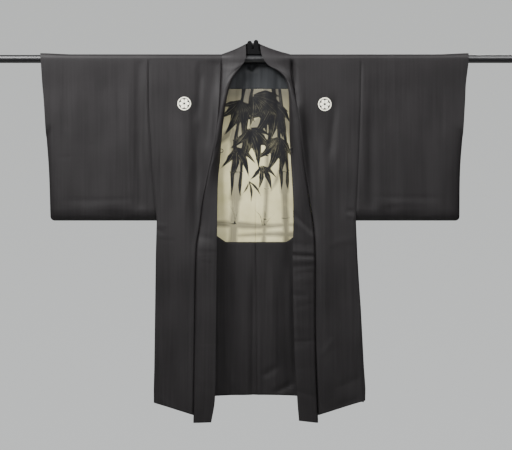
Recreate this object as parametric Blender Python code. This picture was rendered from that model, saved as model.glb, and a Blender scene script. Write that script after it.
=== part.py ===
"""A man's haori of black silk, hung open over a rod with a neck support.

Metres, +Z up. The front faces -Y and left and right are the viewer's. The origin is on the
rod's axis, below the neck. Every cloth is a wall of even thickness, made from rows of points
that follow the garment's cut: down the front or the back from the rod, and across each panel.
"""

import math
from collections import namedtuple

import bmesh
import bpy
from mathutils import Vector

# Walls and gaps
CLOTH = 0.0016
LINING = 0.0010
COLLAR = 0.0022
GAP = 0.0003
MERGE = 0.00002

# The rod, and the radius of the cloth that lies over it
ROD_RADIUS = 0.012
ROD_LENGTH = 1.600
ROD_SIDES = 48
BEND = 0.0141
QUARTER = BEND * math.pi / 2
ARC_STEPS = 4

# The neck opening: half its width on the ridge, and its drop behind the ridge
NECK_HALF = 0.102
NECK_DROP = 0.028
NECK_POWER = 1.6

# Lengths, measured down from the rod's axis
HEM_FRONT = -1.066
HEM_SLOPE = 0.31
HEM_INNER = 0.186
HEM_BACK = -1.010
HEM_BACK_SIDE = 0.020
BACK_HALF_WIDTH = 0.31
HEM_BEND_START = -0.60
COLLAR_HEM = -1.089
ARMPIT = -0.485
YOKE_END = -0.0885
LINING_END = -0.549
LINING_CORNER = 0.091
LINING_CORNER_WIDTH = 0.026
LINING_CORNER_RISE = 0.018
LINING_SIDE = 0.25
LINING_SIDE_FADE = 0.10
LINING_BEND_REACH = 0.10

# Half the depth between front and back, below the rod
DEPTH_HEM = 0.0225
BACK_EASE = 0.0012
BACK_EASE_REACH = 0.025

# The front edge stands forward at the chest, where the collar turns
STAND_REACH = 0.020

# Sleeves
MOUTH_END = -0.235
MOUTH_CURVE = 0.042
SLEEVE_ROUND = 0.017
CUFF_ROUND = 0.030
CORNER_ROUND = 0.013
CUFF_LIFT = 0.0035
CUFF_LIFT_REACH = 0.10
SLEEVE_SLIM = 0.0030
SLEEVE_SLIM_REACH = 0.10
SLEEVE_SLIM_SHARE = 0.4
FOLD_STOP = 0.06

# Gussets
GUSSET_FOLD = 0.019
GUSSET_POWER = 1.5
EDGE_GAP = 0.0005

# The collar clears the rod by lying this far out round the neck, to just below the rod
NECK_LIFT = 0.0005
NECK_LIFT_END = QUARTER * 1.1

# The collar faces forwards from this far down its seam, and ends just before the front hem
COLLAR_TURNED = 0.129
COLLAR_END_OUT = 0.0005
SEAM_SHARE = 0.8
STATION_STEP = 0.02
LEAST_WIDTH = 0.2

# Steps along the cloth that give its directions at a point
ACROSS_STEP = 0.004
DOWN_STEP = 0.001

# Neck support, a black block on the rod with two rounded lobes
SUPPORT_LEFT = -0.0262
SUPPORT_RIGHT = 0.0072
SUPPORT_GROOVE = (-0.0120, -0.0068)
SUPPORT_FOOT = 0.0160
SUPPORT_FOOT_TOP = 0.0240
SUPPORT_FOOT_SLOPE = 0.0040
SUPPORT_FOOT_IN = 0.0020
LOBE_STEPS = 8
SUPPORT_GROOVE_FOOT = 0.0300
SUPPORT_TOPS = (0.0540, 0.0570)
SUPPORT_DEPTH = (-0.0080, 0.0115)
SUPPORT_ROUND = 0.0015
SHARP = math.radians(45)

# Loops for the tie cords
LOOP_CORD = 0.0011
LOOP_REACH = 0.0085
LOOP_HALF = 0.0055
LOOP_POINTS = 15
LOOP_HEIGHT = -0.264
LOOP_ROUND = 0.7

Edge = namedtuple("Edge", "height left right")

COLLAR_SEAM = [
    Edge(0.014, 0.1020, 0.1020),
    Edge(-0.060, 0.1040, 0.1080),
    Edge(-0.140, 0.1080, 0.1205),
    Edge(-0.240, 0.1180, 0.1340),
    Edge(-0.350, 0.1410, 0.1480),
    Edge(-0.430, 0.1580, 0.1610),
    Edge(-0.505, 0.1680, 0.1720),
    Edge(-0.570, 0.1775, 0.1765),
    Edge(-0.840, 0.1830, 0.1775),
    Edge(-1.065, 0.1865, 0.1850),
]

# Straight between its rows, whose heights are rows of the body and of the sleeves too
SIDE_SEAM = [
    Edge(0.0142, 0.3210, 0.3160),
    Edge(-0.150, 0.3200, 0.3130),
    Edge(-0.340, 0.3100, 0.3060),
    Edge(-0.485, 0.2970, 0.2990),
    Edge(-0.590, 0.2998, 0.3035),
    Edge(-0.760, 0.3018, 0.3135),
    Edge(-0.960, 0.3040, 0.3220),
    Edge(-1.030, 0.3055, 0.3265),
]

CUFF_EDGE = [
    Edge(0.014, 0.6465, 0.6370),
    Edge(-0.010, 0.6440, 0.6360),
    Edge(-0.075, 0.6400, 0.6285),
    Edge(-0.120, 0.6360, 0.6265),
    Edge(-0.215, 0.6300, 0.6210),
    Edge(-0.333, 0.6215, 0.6125),
    Edge(-0.485, 0.6165, 0.6105),
]

STAND = [
    Edge(0.000, 0.000, 0.000),
    Edge(-0.060, 0.005, 0.004),
    Edge(-0.130, 0.013, 0.010),
    Edge(-0.220, 0.017, 0.015),
    Edge(-0.320, 0.013, 0.012),
    Edge(-0.430, 0.008, 0.008),
    Edge(-0.560, 0.003, 0.003),
    Edge(-0.700, 0.001, 0.001),
    Edge(-1.066, 0.001, 0.001),
]

# A fold runs from top to end; rise is outwards from the body, and a negative rise is a trough
Fold = namedtuple("Fold", "x_top z_top x_end z_end rise half_width")
FOLD_FADE = 0.3

FRONT_FOLDS = [
    Fold(-0.163, -0.010, -0.180, -0.200, -0.0050, 0.011),
    Fold(-0.180, -0.110, -0.179, -0.600, -0.0110, 0.017),
    Fold(-0.214, -0.160, -0.210, -0.760, 0.0030, 0.020),
    Fold(-0.262, -0.040, -0.246, -0.520, -0.0022, 0.020),
    Fold(-0.252, -0.560, -0.262, -1.150, -0.0030, 0.022),
    Fold(0.109, -0.005, 0.128, -0.150, -0.0075, 0.008),
    Fold(0.143, -0.090, 0.178, -0.620, -0.0115, 0.017),
    Fold(0.205, -0.200, 0.214, -0.800, 0.0032, 0.020),
    Fold(0.240, -0.090, 0.219, -0.330, -0.0040, 0.015),
    Fold(0.268, -0.520, 0.282, -1.150, -0.0032, 0.024),
]

BACK_FOLDS = [
    Fold(-0.205, -0.060, -0.222, -1.150, 0.0034, 0.026),
    Fold(-0.150, -0.300, -0.140, -1.150, -0.0030, 0.022),
    Fold(-0.078, -0.520, -0.074, -1.150, 0.0030, 0.015),
    Fold(-0.034, -0.600, -0.038, -1.150, -0.0028, 0.014),
    Fold(0.046, -0.560, 0.056, -1.150, -0.0036, 0.013),
    Fold(0.104, -0.420, 0.108, -1.150, 0.0038, 0.016),
    Fold(0.162, -0.120, 0.172, -1.150, -0.0030, 0.024),
    Fold(0.236, -0.060, 0.252, -1.150, 0.0032, 0.026),
    Fold(-0.012, -0.012, -0.012, -0.300, 0.0028, 0.010),
    Fold(0.032, -0.020, 0.036, -0.260, -0.0018, 0.014),
]

SLEEVE_FOLDS = [
    Fold(-0.346, -0.060, -0.348, -0.700, -0.0045, 0.016),
    Fold(-0.420, -0.120, -0.428, -0.700, 0.0024, 0.024),
    Fold(-0.505, -0.060, -0.498, -0.700, -0.0026, 0.026),
    Fold(0.348, -0.040, 0.342, -0.700, -0.0040, 0.016),
    Fold(0.432, -0.100, 0.438, -0.700, 0.0026, 0.026),
    Fold(0.520, -0.060, 0.512, -0.700, -0.0024, 0.024),
]

# The collar's free edge: along is the distance down the seam from the centre back
CollarRow = namedtuple("CollarRow", "along x y z bulge")

COLLAR_LEFT = [
    CollarRow(0.000, -0.0095, 0.0215, 0.0500, 0.000),
    CollarRow(0.045, -0.0225, 0.0195, 0.0495, 0.001),
    CollarRow(0.080, -0.0285, 0.0130, 0.0470, 0.003),
    CollarRow(0.107, -0.0300, -0.0010, 0.0400, 0.001),
    CollarRow(0.129, -0.0300, -0.0160, 0.0070, 0.004),
    CollarRow(0.159, -0.0345, -0.0195, -0.0090, 0.005),
    CollarRow(0.189, -0.0430, -0.0220, -0.0220, 0.006),
    CollarRow(0.219, -0.0560, -0.0240, -0.0380, 0.006),
    CollarRow(0.250, -0.0690, -0.0240, -0.0580, 0.006),
    CollarRow(0.280, -0.0780, -0.0200, -0.0820, 0.007),
    CollarRow(0.315, -0.0890, -0.0110, -0.1150, 0.008),
    CollarRow(0.350, -0.0990, 0.0010, -0.1520, 0.009),
    CollarRow(0.380, -0.1035, 0.0050, -0.1920, 0.009),
    CollarRow(0.416, -0.1055, 0.0060, -0.2380, 0.008),
    CollarRow(0.457, -0.1080, 0.0030, -0.2930, 0.006),
    CollarRow(0.519, -0.1140, -0.0090, -0.3620, 0.004),
    CollarRow(0.581, -0.1155, -0.0190, -0.4330, 0.003),
    CollarRow(0.657, -0.1160, -0.0250, -0.5160, 0.003),
    CollarRow(0.737, -0.1175, -0.0270, -0.6000, 0.003),
    CollarRow(0.977, -0.1200, -0.0280, -0.8400, 0.003),
    CollarRow(1.158, -0.1225, -0.0280, -1.0200, 0.002),
    CollarRow(1.227, -0.1335, -0.0270, -1.0870, 0.001),
]

COLLAR_RIGHT = [
    CollarRow(0.000, -0.0095, 0.0215, 0.0500, 0.000),
    CollarRow(0.045, 0.0035, 0.0195, 0.0495, 0.001),
    CollarRow(0.080, 0.0095, 0.0130, 0.0470, 0.000),
    CollarRow(0.107, 0.0110, -0.0010, 0.0400, -0.004),
    CollarRow(0.129, 0.0185, -0.0160, 0.0070, 0.002),
    CollarRow(0.159, 0.0350, -0.0195, -0.0190, 0.004),
    CollarRow(0.189, 0.0590, -0.0210, -0.0330, 0.005),
    CollarRow(0.219, 0.0800, -0.0200, -0.0490, 0.006),
    CollarRow(0.254, 0.0930, -0.0140, -0.0720, 0.007),
    CollarRow(0.280, 0.0980, -0.0080, -0.0960, 0.008),
    CollarRow(0.315, 0.1000, -0.0020, -0.1400, 0.009),
    CollarRow(0.350, 0.1005, 0.0000, -0.1900, 0.008),
    CollarRow(0.390, 0.1020, -0.0040, -0.2450, 0.007),
    CollarRow(0.446, 0.1050, -0.0110, -0.3080, 0.005),
    CollarRow(0.497, 0.1080, -0.0160, -0.3620, 0.004),
    CollarRow(0.563, 0.1110, -0.0210, -0.4300, 0.003),
    CollarRow(0.640, 0.1110, -0.0250, -0.5060, 0.003),
    CollarRow(0.737, 0.1095, -0.0270, -0.6000, 0.003),
    CollarRow(0.977, 0.1140, -0.0280, -0.8400, 0.003),
    CollarRow(1.158, 0.1230, -0.0280, -1.0200, 0.002),
    CollarRow(1.227, 0.1280, -0.0270, -1.0820, 0.001),
]

# Where the rows and columns of the walls run
FRONT_LEVELS = (-0.020, -0.045, -0.075, -0.110, -0.150, -0.190, -0.235, -0.285, -0.340, -0.400,
                -0.440, ARMPIT, -0.535, -0.590, -0.670, -0.760, -0.860, -0.960, HEM_FRONT)
BACK_LEVELS = (-0.030, YOKE_END, -0.150, -0.240, -0.340, -0.415, ARMPIT, LINING_END, -0.640,
               -0.760, -0.880, HEM_BACK)
BODY_COLUMNS = (0.0, 0.03, 0.065, 0.105, 0.15, 0.20, 0.255, 0.32, 0.39, 0.47, 0.56, 0.65, 0.74,
                0.83, 0.92, 1.0)
SLEEVE_STATIONS = (0.0, 0.05, 0.11, 0.18, 0.28, 0.40, 0.52, 0.65, 0.78, 0.88)
CUFF_STATIONS = (0.030, 0.018, 0.009, 0.003, 0.0)
SLEEVE_LEVELS = (-0.070, -0.150, -0.195, -0.214, -0.226, -0.232, MOUTH_END, -0.285, -0.340, -0.420)
SLEEVE_BOTTOM_STEPS = 4
COLLAR_COLUMNS = (0.0, 0.12, 0.30, 0.50, 0.70, 0.88, 1.0)
INNER_COLUMNS = BODY_COLUMNS[:-1]
YOKE_ROW = 1 + BACK_LEVELS.index(YOKE_END)
LINING_ROW = 1 + BACK_LEVELS.index(LINING_END)
YOKE_START = 0.10
LINING_START = 0.004
HEM_SHARE = 0.985
GUSSET_LEVELS = (ARMPIT, -0.515, -0.560, -0.620, -0.700, -0.780, -0.860, -0.940, -1.024)
GUSSET_COLUMNS = (-1.0, -0.88, -0.6, -0.3, 0.0, 0.3, 0.6, 0.88, 1.0)


def smooth(value):
    """Ease a share from 0 to 1, flat at both ends."""
    share = min(max(value, 0.0), 1.0)
    return share * share * (3 - 2 * share)


def spread(start, end, steps):
    """Evenly spaced values from start to end."""
    return [start + (end - start) * i / steps for i in range(steps + 1)]


def read(rows, column, key):
    """Read a smooth curve through a column of a table, at a value of its first column."""
    falling = rows[-1][0] < rows[0][0]
    table = rows[::-1] if falling else rows
    keys = [row[0] for row in table]
    values = [getattr(row, column) for row in table]
    if key <= keys[0]:
        return values[0]
    if key >= keys[-1]:
        return values[-1]
    here = next(i for i in range(len(keys) - 1) if keys[i] <= key <= keys[i + 1])
    span = keys[here + 1] - keys[here]

    def slope(i):
        low, high = max(i - 1, 0), min(i + 1, len(keys) - 1)
        return (values[high] - values[low]) / (keys[high] - keys[low])

    t = (key - keys[here]) / span
    ease = 3 * t ** 2 - 2 * t ** 3
    bend_in = (t ** 3 - 2 * t ** 2 + t) * span * slope(here)
    bend_out = (t ** 3 - t ** 2) * span * slope(here + 1)
    return values[here] * (1 - ease) + values[here + 1] * ease + bend_in + bend_out


def read_straight(rows, column, key):
    """Read a table of falling heights, straight between its rows."""
    for upper, lower in zip(rows, rows[1:]):
        if key >= lower.height:
            share = min(max((upper.height - key) / (upper.height - lower.height), 0.0), 1.0)
            return getattr(upper, column) * (1 - share) + getattr(lower, column) * share
    return getattr(rows[-1], column)


def side_name(side):
    """Name the viewer's side of a signed half."""
    return "left" if side < 0 else "right"


def fold_depth(folds, x, z):
    """Add up what the folds raise the cloth by, at a place on it."""
    total = 0.0
    for fold in folds:
        share = (fold.z_top - z) / (fold.z_top - fold.z_end)
        if not 0.0 < share < 1.0:
            continue
        middle = fold.x_top + (fold.x_end - fold.x_top) * share
        fade = smooth(share / FOLD_FADE) * smooth((1 - share) / FOLD_FADE)
        total += fold.rise * fade * math.exp(-((x - middle) / fold.half_width) ** 2)
    return total


def half_depth(z):
    """Half the depth of the hanging body at a height."""
    return BEND + (DEPTH_HEM - BEND) * smooth(z / HEM_FRONT)


def front_depth(x, z):
    """Depth of the front's outer face."""
    name = side_name(x)
    from_seam = abs(x) - read(COLLAR_SEAM, name, z)
    stand = read(STAND, name, z) * math.exp(-(from_seam / STAND_REACH) ** 2)
    return -(half_depth(z) + stand + fold_depth(FRONT_FOLDS, x, z))


def back_depth(x, z):
    """Depth of the back's outer face."""
    ease = BACK_EASE * smooth(-z / BACK_EASE_REACH)
    return half_depth(z) + ease + fold_depth(BACK_FOLDS, x, z)


def hang(x, down):
    """A point on the body's outer face; down is the way from the ridge, below 0 on the back."""
    if abs(down) <= QUARTER:
        angle = down / BEND
        return Vector((x, -BEND * math.sin(angle), BEND * math.cos(angle)))
    z = QUARTER - abs(down)
    return Vector((x, front_depth(x, z) if down > 0 else back_depth(x, z), z))


def hem_front(x):
    """Height of the front hem, which falls towards the collar."""
    return HEM_FRONT + (abs(x) - HEM_INNER) * HEM_SLOPE


def hem_back(x):
    """Height of the back hem."""
    return HEM_BACK - HEM_BACK_SIDE * (x / BACK_HALF_WIDTH) ** 2


def level_height(level, hem, reference):
    """Height of a row, which follows the hem in the lower part."""
    return level + (hem - reference) * smooth((level - HEM_BEND_START) / (reference - HEM_BEND_START))


def lining_corner(x):
    """How far the pale lining's lower edge rises at its slanted corners."""
    rise = min(max((abs(x) - LINING_CORNER) / LINING_CORNER_WIDTH, 0.0), 1.0)
    return LINING_CORNER_RISE * rise * smooth((LINING_SIDE - abs(x)) / LINING_SIDE_FADE)


def back_height(level, x):
    """Height of a row of the back, one of which follows the lining's lower edge."""
    near = smooth(1 - abs(level - LINING_END) / LINING_BEND_REACH)
    return level_height(level, hem_back(x), HEM_BACK) + lining_corner(x) * near


def neck_half(back_down):
    """Half width of the neck opening at a way behind the ridge."""
    share = min(back_down / NECK_DROP, 1.0)
    return NECK_HALF * (1 - share ** NECK_POWER) ** (1 / NECK_POWER)


def body_rows():
    """The rows of a body half from front hem to back hem, each with its kind and its key."""
    rows = [("front", level) for level in reversed(FRONT_LEVELS)]
    step = QUARTER / ARC_STEPS
    rows += [("arc", step * i) for i in range(ARC_STEPS, -ARC_STEPS - 1, -1)]
    rows += [("neck", -(QUARTER + NECK_DROP) / 2), ("neck", -NECK_DROP)]
    rows += [("back", level) for level in BACK_LEVELS]
    return rows


def inner_edge(side, kind, key):
    """The body's edge that the collar is sewn to, or its centre back seam: x and way down."""
    name = side_name(side)
    if kind == "front":
        x = read(COLLAR_SEAM, name, key)
        return x, QUARTER - level_height(key, hem_front(x), HEM_FRONT)
    if kind == "back":
        return GAP / 2, -(QUARTER - back_height(key, 0.0))
    return max(neck_half(max(-key, 0.0)), GAP / 2), key


def body_point(side, kind, key, share):
    """A point of a body half, at a share of the way from its inner to its outer edge."""
    name = side_name(side)
    inner, down = inner_edge(side, kind, key)
    height = QUARTER - abs(down)
    x = inner + (read_straight(SIDE_SEAM, name, height) - inner) * share
    if kind == "front":
        down = QUARTER - level_height(key, hem_front(x), HEM_FRONT)
    if kind == "back":
        down = -(QUARTER - back_height(key, x))
    return hang(side * x, down)


def sheet(name, rows, thickness, outward, material, inset=0.0, centred=False):
    """Make a wall of cloth: a grid on the rows' points, thickened inwards from its outer face.

    With an inset it starts that far inside the points, which are then another cloth's.
    """
    bm = bmesh.new()
    bmesh.ops.create_grid(bm, x_segments=len(rows[0]) - 1, y_segments=len(rows) - 1, size=1.0)
    points = [point for row in rows for point in row]
    for vert, point in zip(bm.verts, points):
        vert.co = point
    bmesh.ops.remove_doubles(bm, verts=bm.verts, dist=MERGE)
    bmesh.ops.triangulate(bm, faces=bm.faces, quad_method="SHORT_EDGE")
    bm.faces.ensure_lookup_table()
    bm.normal_update()
    if bm.faces[0].normal.dot(Vector(outward)) < 0:
        bmesh.ops.reverse_faces(bm, faces=bm.faces)
    mesh = bpy.data.meshes.new(name)
    bm.to_mesh(mesh)
    bm.free()
    obj = add_object(name, mesh, material)
    wall = obj.modifiers.new("Wall", "SOLIDIFY")
    wall.thickness = thickness
    wall.offset = 0.0 if centred else -1.0 - 2.0 * inset / thickness
    wall.use_even_offset = True
    wall.use_quality_normals = True
    return obj


def add_object(name, mesh, material):
    """Link a mesh as a named object, shaded smooth, with its material."""
    obj = bpy.data.objects.new(name, mesh)
    bpy.context.scene.collection.objects.link(obj)
    mesh.materials.append(material)
    mesh.shade_smooth()
    return obj


def make_material(name, colour, roughness, metallic=0.0):
    """Make a plain Principled finish."""
    material = bpy.data.materials.new(name)
    material.use_nodes = True
    shader = material.node_tree.nodes["Principled BSDF"]
    shader.inputs["Base Color"].default_value = (*colour, 1.0)
    shader.inputs["Roughness"].default_value = roughness
    shader.inputs["Metallic"].default_value = metallic
    return material


def make_body(side, material):
    """One body half: a single length of silk from front hem over the rod to back hem."""
    rows = [[body_point(side, kind, key, share) for share in BODY_COLUMNS]
            for kind, key in body_rows()]
    return sheet("body_" + side_name(side), rows, CLOTH, (0, -1, 0), material)


def sleeve_bottom(side, from_cuff):
    """Height of the sleeve's sewn bottom, rounded at the outer corner."""
    if from_cuff >= CORNER_ROUND:
        return ARMPIT
    return ARMPIT + CORNER_ROUND - math.sqrt(CORNER_ROUND ** 2 - (CORNER_ROUND - from_cuff) ** 2)


def sleeve_half_depth(x, z, bottom, share, from_cuff):
    """Half depth of a sleeve: full at the mouth, rounded to its sewn bottom and outer edge."""
    slim = smooth(share / SLEEVE_SLIM_SHARE) * smooth(-z / SLEEVE_SLIM_REACH)
    depth = half_depth(z) - SLEEVE_SLIM * slim
    depth += fold_depth(SLEEVE_FOLDS, x, z) * smooth((z - bottom) / FOLD_STOP)
    to_bottom = (z - bottom) / SLEEVE_ROUND
    if to_bottom < 1:
        depth *= math.sqrt(max(1 - (1 - max(to_bottom, 0.0)) ** 2, 0.0))
    if from_cuff < CUFF_ROUND:
        sewn = math.sqrt(1 - (1 - from_cuff / CUFF_ROUND) ** 2)
        closed = min(max((MOUTH_END + MOUTH_CURVE - z) / MOUTH_CURVE, 0.0), 1.0)
        mouth = math.sqrt(1 - closed ** 2)
        depth *= max(sewn, mouth) if closed < 1 else sewn
    return depth


def sleeve_ring(side, share, from_cuff):
    """A closed ring of a sleeve, down the front, round the bottom and up the back."""
    name = side_name(side)
    bottom = sleeve_bottom(side, from_cuff)
    heights = list(SLEEVE_LEVELS)
    heights += [bottom + SLEEVE_ROUND * (1 - math.sin(math.pi / 2 * i / SLEEVE_BOTTOM_STEPS))
                for i in range(SLEEVE_BOTTOM_STEPS + 1)]

    def across(z):
        seam = read_straight(SIDE_SEAM, name, z) + GAP
        if share is None:
            return read(CUFF_EDGE, name, z) - from_cuff
        return seam + (read(CUFF_EDGE, name, z) - CUFF_STATIONS[0] - seam) * share

    lift = CUFF_LIFT * smooth(1 - from_cuff / CUFF_LIFT_REACH)
    arc = [math.pi / 2 * i / ARC_STEPS for i in range(ARC_STEPS + 1)]
    front = []
    for angle in arc:
        z = BEND * math.cos(angle)
        front.append((across(z), BEND * math.sin(angle), z + lift * math.cos(angle)))
    for z in heights:
        x = across(z)
        part = 1.0 if share is None else share
        front.append((x, sleeve_half_depth(side * x, z, bottom, part, from_cuff), z))
    ring = [Vector((side * x, -depth, z)) for x, depth, z in front]
    ring += [Vector((side * x, depth, z)) for x, depth, z in reversed(front)]
    return ring


def make_sleeve(side, material):
    """One sleeve: a flat tube over the rod, open at the body and at the upper cuff."""
    width = read(CUFF_EDGE, side_name(side), 0.0) - read_straight(SIDE_SEAM, side_name(side), 0.0)
    rings = []
    for share in SLEEVE_STATIONS:
        from_cuff = CUFF_STATIONS[0] + (width - CUFF_STATIONS[0]) * (1 - share)
        rings.append(sleeve_ring(side, share, from_cuff))
    rings += [sleeve_ring(side, None, from_cuff) for from_cuff in CUFF_STATIONS]
    return sheet("sleeve_" + side_name(side), rings, CLOTH, (0, 0, 1), material)


def along_edge(points, z):
    """The point at a height on a falling line of points."""
    for upper, lower in zip(points, points[1:]):
        if z >= lower.z:
            return upper.lerp(lower, min(max((upper.z - z) / (upper.z - lower.z), 0.0), 1.0))
    return points[-1]


def make_gusset(side, material):
    """The narrow side gusset, folded inwards, from the sleeve's bottom to the hem."""
    front = [body_point(side, "front", level, 1.0) for level in FRONT_LEVELS]
    back = [body_point(side, "back", level, 1.0) for level in BACK_LEVELS]
    rows = []
    for level in GUSSET_LEVELS:
        near, far = along_edge(front, level), along_edge(back, level)
        near += Vector((0, CLOTH + EDGE_GAP, 0))
        far -= Vector((0, CLOTH + EDGE_GAP, 0))
        depth = GUSSET_FOLD * smooth((ARMPIT - level) / (ARMPIT - HEM_BACK))
        row = []
        for share in GUSSET_COLUMNS:
            point = near.lerp(far, (1 + share) / 2)
            point.x -= side * depth * ((1 + math.cos(math.pi * share)) / 2) ** GUSSET_POWER
            if level == ARMPIT:
                point.z += SLEEVE_ROUND * (1 - math.sqrt(1 - share ** 2)) - EDGE_GAP
            row.append(point)
        rows.append(row)
    return sheet("gusset_" + side_name(side), rows, CLOTH, (side, 0, 0), material)


def back_rows(sides, start, start_share, end, end_share):
    """The back's points between two of its rows, each cut a share of the way to the next row.

    What lies on the inside of the back is made from these points, moved in.
    """
    keys = [("neck", -NECK_DROP)] + [("back", level) for level in BACK_LEVELS]

    def row(index, share):
        points = []
        for side in sides:
            half = [body_point(side, *keys[index], column) for column in INNER_COLUMNS]
            if share:
                below = [body_point(side, *keys[index + 1], column) for column in INNER_COLUMNS]
                half = [point.lerp(low, share) for point, low in zip(half, below)]
            points += half[::-1] if side < 0 else half[len(points) and 1:]
        return points

    rows = [row(start, start_share)] + [row(index, 0) for index in range(start + 1, end + 1)]
    if end_share:
        rows.append(row(end, end_share))
    return rows


def make_inner(name, rows, material):
    """A thin layer on the inside of the back."""
    return sheet(name, rows, LINING, (0, 1, 0), material, inset=CLOTH + GAP)


def seam_path(side):
    """The collar's seam from centre back to hem: points, and directions across the seam."""
    edge = [inner_edge(side, kind, key) for kind, key in body_rows() if kind != "back"]
    edge.reverse()
    points = []
    for x, down in edge:
        at_edge = hang(side * x, down)
        beside = hang(side * (x + ACROSS_STEP), down)
        ahead = hang(side * x, down + DOWN_STEP)
        inward = (at_edge - beside).normalized()
        normal = (ahead - at_edge).cross(inward).normalized()
        if normal.dot(Vector((0, at_edge.y, max(at_edge.z, 0.0)))) < 0:
            normal = -normal
        lift = NECK_LIFT if down < NECK_LIFT_END else 0.0
        points.append((at_edge - normal * (CLOTH / 2 - lift), inward))
    last, inward = points[-1]
    below = last + Vector((side * COLLAR_END_OUT, -COLLAR_END_OUT, COLLAR_HEM - last.z))
    points.append((below, inward))
    points[0] = (Vector((0.0, points[0][0].y, points[0][0].z)), Vector((0, 0, 1)))
    return points


def collar_stations(side):
    """Stations down one side of the collar: distance along, seam point and way inwards."""
    path = seam_path(side)
    stations = [(0.0, *path[0])]
    along = 0.0
    for (start, turn), (end, next_turn) in zip(path, path[1:]):
        length = (end - start).length
        for share in ((0.5, 1.0) if length > STATION_STEP else (1.0,)):
            place = start.lerp(end, share)
            stations.append((along + length * share, place, turn.lerp(next_turn, share)))
        along += length
    return stations


def collar_section(side, station):
    """The points across the collar at a station, from the seam to the free edge."""
    along, seam, inward = station
    table = COLLAR_LEFT if side < 0 else COLLAR_RIGHT
    edge = Vector([read(table, column, along) for column in "xyz"])
    bulge = read(table, "bulge", along)
    width = (edge - seam).normalized()
    outward = Vector((0, 0, 1)).cross(width) * side
    if outward.length < LEAST_WIDTH:
        outward = Vector((0, 1, 0))
    outward.normalize()
    if along > COLLAR_TURNED and outward.y > 0:
        outward = -outward
    leaving = ((edge - seam) + outward * bulge * 4).normalized()
    turned = inward.normalized().cross(leaving).length
    start = seam + leaving * (GAP + CLOTH * SEAM_SHARE * turned)
    return [start.lerp(edge, share) + outward * bulge * 4 * share * (1 - share)
            for share in COLLAR_COLUMNS]


def make_collar(material):
    """The collar band, from the left front hem round the back of the neck to the right hem."""
    left = [collar_section(-1, station) for station in collar_stations(-1)]
    right = [collar_section(1, station) for station in collar_stations(1)]
    return sheet("collar", left[::-1] + right[1:], COLLAR, (0, -1, 0), material, centred=True)


def make_rod(material):
    """The rod that carries the shoulders and runs through both sleeves."""
    bm = bmesh.new()
    bmesh.ops.create_cone(bm, cap_ends=True, segments=ROD_SIDES, radius1=ROD_RADIUS,
                          radius2=ROD_RADIUS, depth=ROD_LENGTH)
    mesh = bpy.data.meshes.new("rod")
    bm.to_mesh(mesh)
    bm.free()
    rod = add_object("rod", mesh, material)
    mesh.set_sharp_from_angle(angle=SHARP)
    rod.rotation_euler = (0.0, math.pi / 2, 0.0)
    return rod


def lobe(start, end, top):
    """The rounded top of one lobe of the support, as x and z, from one side to the other."""
    middle, radius = (start + end) / 2, abs(start - end) / 2
    return [(middle + (start - middle) * math.cos(angle), top + radius * (math.sin(angle) - 1))
            for angle in spread(0.0, math.pi, LOBE_STEPS)]


def make_support(material):
    """The neck support: a foot on the rod and two lobes with rounded tops."""
    left, right = SUPPORT_LEFT, SUPPORT_RIGHT
    groove_left, groove_right = SUPPORT_GROOVE
    outline = [(left, ROD_RADIUS + GAP), (SUPPORT_FOOT, ROD_RADIUS + GAP),
               (SUPPORT_FOOT, SUPPORT_FOOT_TOP - SUPPORT_FOOT_SLOPE),
               (right + SUPPORT_FOOT_IN, SUPPORT_FOOT_TOP)]
    outline += lobe(right, groove_right, SUPPORT_TOPS[1])
    outline += [(groove_right, SUPPORT_GROOVE_FOOT), (groove_left, SUPPORT_GROOVE_FOOT)]
    outline += lobe(groove_left, left, SUPPORT_TOPS[0])
    bm = bmesh.new()
    front, back = SUPPORT_DEPTH
    face = bm.faces.new([bm.verts.new((x, front, z)) for x, z in outline])
    grown = bmesh.ops.extrude_face_region(bm, geom=[face])
    moved = [item for item in grown["geom"] if isinstance(item, bmesh.types.BMVert)]
    bmesh.ops.translate(bm, verts=moved, vec=(0.0, back - front, 0.0))
    bmesh.ops.recalc_face_normals(bm, faces=bm.faces)
    mesh = bpy.data.meshes.new("neck_support")
    bm.to_mesh(mesh)
    bm.free()
    support = add_object("neck_support", mesh, material)
    mesh.set_sharp_from_angle(angle=SHARP)
    rounding = support.modifiers.new("Rounded", "BEVEL")
    rounding.width = SUPPORT_ROUND
    rounding.segments = 2
    rounding.limit_method = "ANGLE"
    rounding.angle_limit = SHARP
    return support


def make_loop(side, material):
    """A small cord loop on the collar's inner edge, for the tie."""
    sections = [collar_section(side, station) for station in collar_stations(side)]
    section = min(sections, key=lambda points: abs(points[-2].z - LOOP_HEIGHT))
    root = section[-3]
    width = (section[-1] - section[-3]).normalized()
    down = Vector((0, 0, -1))
    outward = width.cross(down) * -side
    if outward.y > 0:
        outward = -outward
    outward.normalize()
    curve = bpy.data.curves.new("loop_" + side_name(side), "CURVE")
    curve.dimensions = "3D"
    curve.bevel_depth = LOOP_CORD
    curve.bevel_resolution = 1
    curve.use_fill_caps = True
    spline = curve.splines.new("POLY")
    spline.points.add(LOOP_POINTS - 1)
    near = COLLAR / 2 + GAP
    for point, angle in zip(spline.points, spread(0.0, math.pi, LOOP_POINTS - 1)):
        reach = near + LOOP_REACH * math.sin(angle) ** LOOP_ROUND
        place = root + outward * reach + down * LOOP_HALF * (1 - math.cos(angle))
        point.co = (*place, 1.0)
    loop = bpy.data.objects.new("loop_" + side_name(side), curve)
    bpy.context.scene.collection.objects.link(loop)
    curve.materials.append(material)
    return loop


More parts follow.
